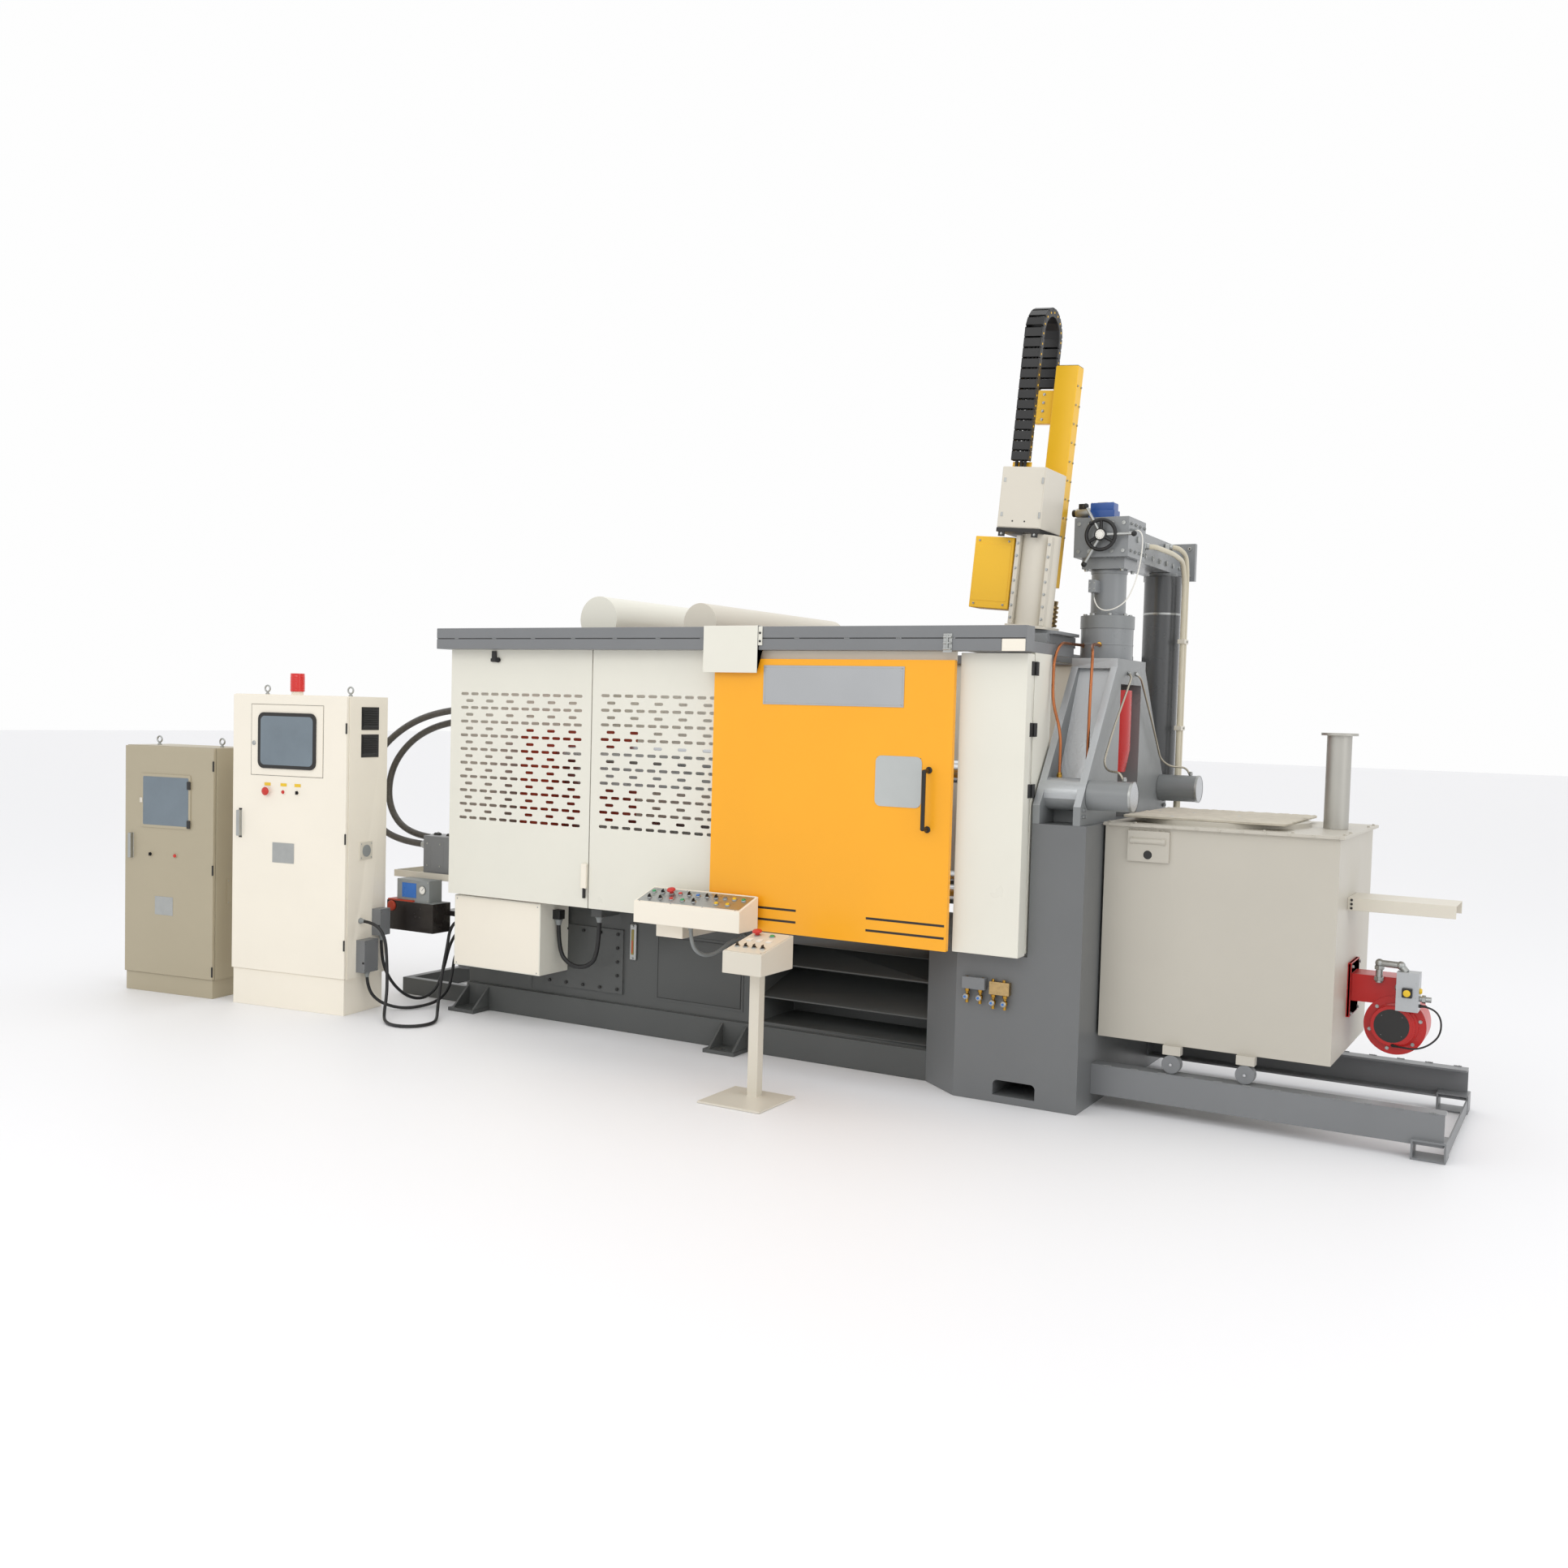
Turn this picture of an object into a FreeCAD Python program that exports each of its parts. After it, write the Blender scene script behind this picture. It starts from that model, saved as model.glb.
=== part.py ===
"""Hot-chamber die casting machine with its furnace, control cabinets and spray robot.

Frame: +X runs along the machine towards the furnace, -Y is the operator's side and +Z is up.
The origin is on the floor, under the middle of the platen column and on the machine's centreline.
All sizes are in millimetres.
"""
import FreeCAD
import Part
import Sketcher
import math
import os
import re

SIZES = {
    # platen column and bed
    "column_half": 300,
    "column_reach": 695,
    "column_top": 690,
    "chamfer_run": 220,
    "bed_half": 522,
    "bed_length": 2950,
    "sill_height": 148,
    "wall_inset": 22,
    "recess_length": 956,
    "recess_floor": 168,
    "recess_top": 592,
    "recess_depth": 360,
    "recess_side": 3,
    "cover_thick": 12,
    "fork_width": 205,
    "fork_floor": 35,
    "fork_height": 71,
    "fork_radius": 22,
    "platen_left": 45,
    "platen_top": 1305,
    # anchor feet and floor frame
    "foot_width": 190,
    "foot_reach": 141,
    "foot_thick": 20,
    "foot_rib": 14,
    "foot_rib_height": 138,
    "foot_hole": 14,
    "foot_offset": 1745,
    "extension_length": 580,
    "extension_half": 450,
    "channel_height": 100,
    "channel_width": 50,
    # guards
    "housing_length": 3409,
    "housing_right": 36,
    "housing_half": 796,
    "door_bottom": 707,
    "door_top": 2078,
    "sheet_thick": 20,
    "opening_length": 1045,
    "second_door_length": 1053,
    "door_gap": 6,
    "service_width": 321,
    "service_return": 90,
    "hinge_radius": 8,
    "hinge_height": 62,
    "hinge_low": 1420,
    "hinge_middle": 1698,
    "hinge_high": 1975,
    "slide_length": 1294,
    "slide_thick": 26,
    "slide_bottom": 700,
    "slide_top": 2036,
    "slide_gap": 30,
    "window_width": 225,
    "window_height": 225,
    "window_left": 670,
    "window_bottom": 1358,
    "handle_length": 291,
    "handle_bottom": 1247,
    "handle_inset": 112,
    "handle_reach": 55,
    "handle_radius": 11,
    "plate_length": 759,
    "plate_height": 190,
    "plate_left": 1300,
    "plate_bottom": 1815,
    "rail_height": 114,
    "rail_depth": 78,
    "rail_overhang": 39,
    "rail_cover_length": 314,
    "rail_cover_left": 1632,
    "rail_cover_drop": 112,
    "rail_cover_gap": 12,
    "frame_tube": 50,
    "hood_radius": 122,
    "hood_length": 1420,
    "hood_left": 2450,
    "second_hood_radius": 100,
    "second_hood_left": 1800,
    # toggle machine inside the guards
    "platen_thick": 220,
    "platen_half": 430,
    "platen_top_edge": 1640,
    "rear_platen_left": 3180,
    "moving_platen_left": 1560,
    "tie_bar_radius": 48,
    "tie_bar_half": 320,
    "tie_bar_low": 900,
    "tie_bar_high": 1500,
    "link_thick": 90,
    "link_height": 120,
    "link_low": 1000,
    "link_high": 1330,
    "end_window_half": 480,
    "drum_gap": 180,
    # pieces on the bed
    "box_left": 3356,
    "box_length": 620,
    "box_bottom": 296,
    "box_front": 760,
    "cover_left": 2895,
    "cover_length": 540,
    "cover_bottom": 203,
    "cover_height": 355,
    "second_cover_left": 2127,
    "second_cover_length": 531,
    "second_cover_bottom": 214,
    "second_cover_height": 334,
    "chute_thick": 8,
    "upper_chute_lip": 470,
    "upper_chute_root": 560,
    "lower_chute_lip": 300,
    "lower_chute_root": 400,
    "valve_bar_left": 258,
    "valve_bar_length": 232,
    "valve_bar_bottom": 520,
    "valve_bar_height": 56,
    "valve_bar_thick": 42,
    "valve_drop": 74,
    # pieces on the left end
    "tray_reach": 622,
    "tray_front": 590,
    "tray_back": 100,
    "tray_top": 775,
    "valve_reach": 417,
    "valve_length": 300,
    "valve_front": 560,
    "valve_width": 170,
    "valve_height": 215,
    "pump_left": 3900,
    "pump_length": 360,
    "pump_front": 740,
    "pump_width": 145,
    "pump_bottom": 447,
    "pump_tank_height": 170,
    "pump_head_height": 128,
    "motor_reach": 150,
    "motor_side": 330,
    "motor_bottom": 190,
    "motor_radius": 70,
    "motor_height": 230,
    # control desk and pedestal
    "desk_left": 1903,
    "desk_length": 622,
    "desk_front": 1055,
    "desk_back": 880,
    "desk_bottom": 709,
    "desk_low": 815,
    "desk_high": 872,
    "stand_x": 1040,
    "stand_y": 1345,
    "stand_plate": 328,
    "stand_plate_thick": 10,
    "stand_pole": 52,
    "stand_shift": 70,
    "stand_box_length": 205,
    "stand_box_width": 290,
    "stand_box_bottom": 590,
    "stand_box_low": 690,
    "stand_box_high": 745,
    # injection yoke
    "yoke_thick": 225,
    "yoke_rib": 34,
    "yoke_knee": 1390,
    "yoke_top": 2075,
    "yoke_top_half": 200,
    "yoke_gap": 165,
    "yoke_gap_top": 1955,
    "yoke_recess": 190,
    "boss_radius": 74,
    "boss_height": 1440,
    "boss_reach": 570,
    "ram_radius": 68,
    "ram_length": 205,
    "drum_radius": 130,
    "drum_height": 150,
    "drum_flange": 62,
    "drum_x": 140,
    "cylinder_radius": 84,
    "cylinder_top": 2510,
    "cap_half": 105,
    "sensor_bottom": 2395,
    "block_length": 268,
    "block_front": 150,
    "block_rear": 130,
    "block_bottom": 2562,
    "block_height": 190,
    "manifold_reach": 950,
    "manifold_width": 190,
    "manifold_left": 60,
    "manifold_height": 150,
    "end_plate_width": 276,
    "end_plate_height": 200,
    "end_plate_thick": 34,
    "accumulator_radius": 96,
    "accumulator_x": 200,
    "accumulator_y": 730,
    "accumulator_bottom": 1493,
    "wheel_radius": 80,
    "wheel_rim": 9,
    "wheel_reach": 62,
    "star_reach": 160,
    "star_knob": 14,
    "plunger_radius": 130,
    "plunger_top": 1930,
    "plunger_middle": 1640,
    "plunger_bottom": 1530,
    "rod_radius": 30,
    # spray robot
    "spray_x": -115,
    "spray_y": -360,
    "spray_base": 2206,
    "spray_slope": 0.08,
    "spray_column": 92,
    "spray_column_height": 440,
    "spray_bracket": 18,
    "spray_box_left": 177,
    "spray_box_length": 216,
    "spray_box_width": 280,
    "spray_box_height": 285,
    "side_box_left": 304,
    "side_box_length": 200,
    "side_box_width": 150,
    "side_box_height": 340,
    "arm_left": 90,
    "arm_length": 112,
    "arm_front": 180,
    "arm_width": 80,
    "arm_bottom": 215,
    "arm_height": 1060,
    "chain_left": 184,
    "chain_width": 90,
    "chain_thick": 44,
    "chain_span": 280,
    "chain_back": 175,
    "chain_low": 785,
    "chain_high": 1385,
    "chain_end": 1160,
    "head_radius": 65,
    "head_height": 130,
    "head_bottom": 22,
    # furnace and its rails
    "furnace_gap": 12,
    "furnace_length": 1025,
    "furnace_half": 451,
    "furnace_bottom": 324,
    "furnace_top": 1302,
    "top_plate_thick": 14,
    "top_plate_overhang": 22,
    "collar_radius": 400,
    "collar_bore": 330,
    "collar_height": 22,
    "collar_offset": 420,
    "lid_thick": 16,
    "flue_offset": 96,
    "flue_radius": 54,
    "flue_wall": 3,
    "flue_height": 436,
    "flue_flange": 80,
    "flue_flange_thick": 12,
    "rail_top": 200,
    "rail_bottom": 60,
    "rail_length": 1500,
    "rail_centre": 459,
    "rail_width": 82,
    "roller_radius": 42,
    "roller_width": 46,
    "roller_inset": 350,
    "lug_left": 109,
    "lug_width": 190,
    "lug_height": 140,
    "tray_arm_length": 440,
    "tray_arm_width": 240,
    "tray_arm_depth": 56,
    "tray_arm_top": 1030,
    "burner_height": 600,
    "fan_offset": 205,
    "fan_radius": 130,
    # cabinets
    "cabinet_turn": 7.35,
    "cabinet_depth": 356,
    "cabinet_wall": 20,
    "cabinet_door": 22,
    "small_x": -5453,
    "small_y": -1352,
    "small_width": 690,
    "small_height": 1477,
    "small_plinth": 108,
    "small_handle_x": 60,
    "small_handle_z": 800,
    "tall_x": -4624,
    "tall_y": -1252,
    "tall_width": 816,
    "tall_height": 1800,
    "tall_plinth": 205,
    "tall_handle_x": 62,
    "tall_handle_z": 980,
    # pipes, hoses and cables
    "copper_across": 14,
    "steel_across": 10,
    "cream_across": 25,
    "hose_across": 40,
    "conduit_across": 24,
    "desk_conduit_across": 20,
    "cable_across": 18,
    "lead_across": 8,
    "sensor_across": 6,
    # clearance between pieces that do not touch
    "slack": 0.3,
}

doc = FreeCAD.newDocument("DieCastingMachine")
dims = doc.addObject("Spreadsheet::Sheet", "Dims")
for row, (alias, value) in enumerate(SIZES.items(), start=1):
    dims.set(f"A{row}", alias)
    dims.set(f"B{row}", str(value))
    dims.setAlias(f"B{row}", alias)
doc.recompute()

NAME = re.compile(r"[a-z][a-z_]*[a-z]")
SLOPE = "atan(spray_slope)"
TURNS = {
    "X": FreeCAD.Rotation(FreeCAD.Vector(0, 1, 0), 90),
    "Y": FreeCAD.Rotation(FreeCAD.Vector(1, 0, 0), -90),
    "Z": FreeCAD.Rotation(),
}
nodes = []


def bound(text):
    """Write an expression's size names as cells of the sheet."""
    return NAME.sub(lambda match: ("Dims." if match.group(0) in SIZES else "") + match.group(0), str(text))


def size(text):
    """Work out an expression now, as a plain number."""
    return float(dims.evalExpression(bound(text)))


def bind(item, prop, text):
    item.setExpression(prop, bound(text))


def put(item, x, y, z):
    """Place an item at a corner or centre given by expressions."""
    bind(item, "Placement.Base.x", x)
    bind(item, "Placement.Base.y", y)
    bind(item, "Placement.Base.z", z)
    return item


def box(name, x, y, z, long, wide, high):
    """Make a block from its lowest corner and its three sizes."""
    item = doc.addObject("Part::Box", name)
    bind(item, "Length", long)
    bind(item, "Width", wide)
    bind(item, "Height", high)
    return put(item, x, y, z)


def rod(name, axis, x, y, z, radius, length):
    """Make a cylinder that starts at a point and runs along an axis."""
    item = doc.addObject("Part::Cylinder", name)
    item.Placement.Rotation = TURNS[axis]
    bind(item, "Radius", radius)
    bind(item, "Height", length)
    return put(item, x, y, z)


def ring(name, axis, x, y, z, radius, tube):
    """Make a torus about an axis through its centre."""
    item = doc.addObject("Part::Torus", name)
    item.Placement.Rotation = TURNS[axis]
    bind(item, "Radius1", radius)
    bind(item, "Radius2", tube)
    return put(item, x, y, z)


def join(name, *items):
    """Fuse pieces that touch into one solid."""
    item = doc.addObject("Part::MultiFuse", name)
    item.Shapes = list(items)
    item.Refine = True
    return item


def less(name, base, tool):
    """Cut a tool out of a base."""
    item = doc.addObject("Part::Cut", name)
    item.Base = base
    item.Tool = tool
    item.Refine = True
    return item


def group(name, *items):
    """Keep separate solids together in one node."""
    item = doc.addObject("Part::Compound", name)
    item.Links = list(items)
    return item


def prism(name, plane, outline, depth, start="0"):
    """Pad a closed outline of straight sides, drawn on an origin plane of its own body.

    XY outlines rise along +Z from start, XZ ones run along -Y and YZ ones along +X.
    """
    body = doc.addObject("PartDesign::Body", name)
    sketch = body.newObject("Sketcher::SketchObject", name + "_outline")
    for feature in body.Origin.OriginFeatures:
        if feature.Role == plane + "_Plane":
            sketch.AttachmentSupport = [(feature, "")]
    sketch.MapMode = "FlatFace"
    corners = [FreeCAD.Vector(size(across), size(up), 0) for across, up in outline]
    count = len(corners)
    for index, corner in enumerate(corners):
        sketch.addGeometry(Part.LineSegment(corner, corners[(index + 1) % count]))
    for index in range(count):
        sketch.addConstraint(Sketcher.Constraint("Coincident", index, 2, (index + 1) % count, 1))
    for index, (across, up) in enumerate(outline):
        for kind, text, number in (("DistanceX", across, corners[index].x), ("DistanceY", up, corners[index].y)):
            mark = sketch.addConstraint(Sketcher.Constraint(kind, -1, 1, index, 1, number))
            sketch.setExpression(f"Constraints[{mark}]", bound(text))
    pad = body.newObject("PartDesign::Pad", name + "_pad")
    pad.Profile = sketch
    bind(pad, "Length", depth)
    along = {"XY": "Placement.Base.z", "XZ": "Placement.Base.y", "YZ": "Placement.Base.x"}[plane]
    bind(body, along, start)
    return body


def node(item):
    """List a finished sub-part: its label names its file."""
    nodes.append(item)
    return item


def half_turn(item):
    """Stand a copy of an item on the far side of the centreline."""
    twin = doc.addObject("Part::Mirroring", item.Name + "_twin")
    twin.Source = item
    twin.Normal = FreeCAD.Vector(0, 1, 0)
    return twin


def renamed(item, label):
    item.Label = label
    return item


# Places that several sub-parts share
BED_RIGHT = "(-column_half - chamfer_run)"
BED_LEFT = f"({BED_RIGHT} - bed_length)"
WALL_HALF = "(bed_half - wall_inset)"
HOUSING_LEFT = "(housing_right - housing_length)"
RAIL_TOP = "(door_top + rail_height)"
FRONT = "(-housing_half)"
SERVICE_LEFT = "(housing_right - service_width)"
SLIDE_RIGHT = f"({SERVICE_LEFT} - door_gap)"
SLIDE_LEFT = f"({SLIDE_RIGHT} - slide_length)"
SLIDE_BACK = f"({FRONT} - slide_gap)"
SLIDE_FRONT = f"({SLIDE_BACK} - slide_thick)"
SECOND_RIGHT = f"({SERVICE_LEFT} - opening_length)"
SECOND_LEFT = f"({SECOND_RIGHT} - second_door_length)"
YOKE_RIGHT = "(platen_left + yoke_thick)"
FURNACE_LEFT = "(column_half + furnace_gap)"
FURNACE_RIGHT = f"({FURNACE_LEFT} + furnace_length)"
HINGE_X = "(housing_right + hinge_radius + slack)"
HINGE_Y = f"({FRONT} + service_return + door_gap / 2)"
ARM_FRONT = "(-spray_y - arm_front)"
CHAIN_Y = f"({ARM_FRONT} + 14 + chain_thick - chain_span / 2)"
RECESS_LEFT = f"({BED_RIGHT} - recess_side - recess_length)"
BLOCK_LEFT = "(drum_x - block_length / 2)"
BLOCK_TOP = "(block_bottom + block_height)"
WHEEL_X = "(drum_x + 10)"
WHEEL_Z = "(block_bottom + 102)"


def build_bed():
    """Column with its fixed platen, welded bed, electrical box, anchor feet and floor frame."""
    plan = [
        (BED_RIGHT, "-bed_half"),
        ("-column_half", "-column_reach"),
        ("column_half", "-column_reach"),
        ("column_half", "column_reach"),
        ("-column_half", "column_reach"),
        (BED_RIGHT, "bed_half"),
    ]
    block = prism("column_block", "XY", plan, "column_top")
    platen = box("platen_block", "platen_left", "-column_reach", "column_top",
                 "column_half - platen_left", "2 * column_reach", "platen_top - column_top")
    slot_left = "(-fork_width / 2)"
    depth = "2 * column_reach + 20"
    low = box("fork_low", slot_left, "-column_reach - 10", "fork_floor",
              "fork_width", depth, "fork_height - fork_radius")
    high = box("fork_high", f"{slot_left} + fork_radius", "-column_reach - 10", "fork_floor",
               "fork_width - 2 * fork_radius", depth, "fork_height")
    corner_height = "fork_floor + fork_height - fork_radius"
    left = rod("fork_left", "Y", f"{slot_left} + fork_radius", "-column_reach - 10", corner_height,
               "fork_radius", depth)
    right = rod("fork_right", "Y", "fork_width / 2 - fork_radius", "-column_reach - 10", corner_height,
                "fork_radius", depth)
    fork = join("fork_slot", low, high, left, right)
    pipe_block = box("pipe_block", "column_half - 1", "620", "1150", "71", "80", "100")
    node(less("platen_column", join("column_weldment", block, platen, pipe_block), fork))

    bar = box("valve_bar", "-valve_bar_left", "-column_reach - valve_bar_thick", "valve_bar_bottom",
              "valve_bar_length", "valve_bar_thick", "valve_bar_height")
    taps = []
    for index in range(4):
        taps.append(rod(f"tap_{index}", "Z", f"-valve_bar_left + valve_bar_length * {0.3 + 0.2 * index}",
                        "-column_reach - valve_bar_thick / 2", "valve_bar_bottom - valve_drop", "13",
                        "valve_drop + 1"))
    node(join("column_valves", bar, *taps))

    sill = box("bed_sill", BED_LEFT, "-bed_half", "0", "bed_length", "2 * bed_half", "sill_height")
    tall = "column_top - sill_height"
    tank = box("oil_tank", BED_LEFT, f"-{WALL_HALF}", "sill_height", "bed_length", f"2 * {WALL_HALF}", tall)
    cuts = []
    for side, start in (("front", f"-{WALL_HALF} - 1"), ("back", f"{WALL_HALF} - recess_depth")):
        cuts.append(box(f"bay_recess_{side}", RECESS_LEFT, start, "recess_floor",
                        "recess_length", "recess_depth + 1", "recess_top - recess_floor"))
    body = less("bed_body", join("bed_block", sill, tank), join("bay_recesses", *cuts))
    inner = f"(-{WALL_HALF} + recess_depth + 2)"
    chutes = []
    for level, lip, root, reach in (("upper", "upper_chute_lip", "upper_chute_root", "60"),
                                    ("lower", "lower_chute_lip", "lower_chute_root", "12")):
        outline = [(inner, root), (inner, f"{root} - chute_thick"),
                   (f"-{WALL_HALF} + {reach}", f"{lip} - chute_thick"), (f"-{WALL_HALF} + {reach}", lip)]
        chute = prism(f"{level}_chute", "YZ", outline, "recess_length + 2", f"{RECESS_LEFT} - 1")
        chutes += [chute, half_turn(chute)]
    covers = [
        box("bolted_cover", "-cover_left", f"-{WALL_HALF} - cover_thick", "cover_bottom",
            "cover_length", "cover_thick + 1", "cover_height"),
        box("side_cover", "-second_cover_left", f"-{WALL_HALF} - cover_thick / 2", "second_cover_bottom",
            "second_cover_length", "cover_thick / 2 + 1", "second_cover_height"),
    ]
    duct = box("duct_box", f"{HOUSING_LEFT} + 905", "-660", "640", "72", f"661 - {WALL_HALF}", "44")
    node(join("bed_frame", body, *chutes, *covers, duct))
    case = box("box_case", "-box_left", "-box_front", "box_bottom", "box_length",
               f"box_front - cover_thick - {WALL_HALF}", "door_bottom - 12 - box_bottom")
    gland = box("box_gland", "-box_left + box_length - 1", "-655", "600", "49", "50", "52")
    node(join("electrical_box", case, gland))

    feet = []
    for place, left_edge in (("left", f"({BED_LEFT} - 14)"), ("middle", f"({BED_LEFT} + foot_offset)")):
        foot_plate = box(f"foot_plate_{place}", left_edge, "-bed_half - foot_reach", "0",
                         "foot_width", "foot_reach", "foot_thick")
        hole = rod(f"foot_hole_{place}", "Z", f"{left_edge} + foot_width / 2",
                   "-bed_half - foot_reach / 2 - 18", "-1", "foot_hole", "foot_thick + 2")
        bored = less(f"foot_bored_{place}", foot_plate, hole)
        ribs = []
        for side, shift in (("a", "22"), ("b", "foot_width - foot_rib - 6")):
            outline = [("-bed_half", "foot_thick"), ("-bed_half", "foot_thick + foot_rib_height - 22"),
                       ("-bed_half - foot_reach + 10", "foot_thick")]
            ribs.append(prism(f"foot_rib_{place}_{side}", "YZ", outline, "foot_rib", f"{left_edge} + {shift}"))
        foot = join(f"foot_{place}", bored, *ribs)
        feet += [foot, half_turn(foot)]
    node(group("anchor_feet", *feet))

    frame_left = f"({BED_LEFT} - extension_length)"
    bars = []
    for side, y in (("front", "-extension_half"), ("back", "extension_half - channel_width")):
        bars.append(box(f"floor_bar_{side}", frame_left, y, "0", "extension_length", "channel_width",
                        "channel_height"))
    bars.append(box("floor_bar_end", frame_left, "-extension_half", "0", "channel_width",
                    "2 * extension_half", "channel_height"))
    node(join("floor_frame", *bars))


def build_left_end():
    """Oil tray with its valve stack, lubrication pump and pump motor on the bed's left end."""
    skirt = [("-tray_front", "tray_top"), ("-tray_front", "tray_top - 40"), ("-tray_back", "tray_top - 40"),
             ("-tray_back", "tray_top")]
    tray_left = f"({HOUSING_LEFT} - tray_reach)"
    tray_plate = prism("tray_plate", "YZ", skirt, f"{BED_LEFT} + 1 - {tray_left}", tray_left)
    hollow = box("tray_hollow", f"{tray_left} + 6", "-tray_front + 6", "tray_top - 30",
                 f"{BED_LEFT} - {tray_left} - 12", "tray_front - tray_back - 12", "40")
    hanger = box("tray_hanger", f"{BED_LEFT} - 20", "-tray_front + 40", "column_top - 200", "20",
                 "tray_front - tray_back - 80", "tray_top - 40 - column_top + 200")
    stack = box("valve_stack", f"{HOUSING_LEFT} - valve_reach", "-valve_front", "tray_top - 31",
                "valve_length", "valve_width", "valve_height + 31")
    node(join("end_tray", less("tray_sheet", tray_plate, hollow), hanger, stack))

    tank = box("pump_tank", "-pump_left", "-pump_front", "pump_bottom", "pump_length", "pump_width", "pump_tank_height")
    head = box("pump_head", "-pump_left + 60", "-pump_front + 20", "pump_bottom + pump_tank_height",
               "pump_length - 110", "pump_width - 40", "pump_head_height")
    arm = box("pump_arm", "-pump_left + pump_length - 60", "-pump_front + pump_width - 1",
              "pump_bottom + 90", f"{BED_LEFT} - 20 + pump_left - pump_length + 60", "100", "30")
    node(join("lube_pump", tank, head, arm))
    can = rod("motor_can", "Z", f"{BED_LEFT} - motor_reach", "-motor_side", "motor_bottom",
              "motor_radius", "motor_height")
    foot = box("motor_foot", f"{BED_LEFT} - motor_reach", "-motor_side - 45", "motor_bottom + motor_height / 2",
               "motor_reach", "90", "30")
    node(join("motor", can, foot))


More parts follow.
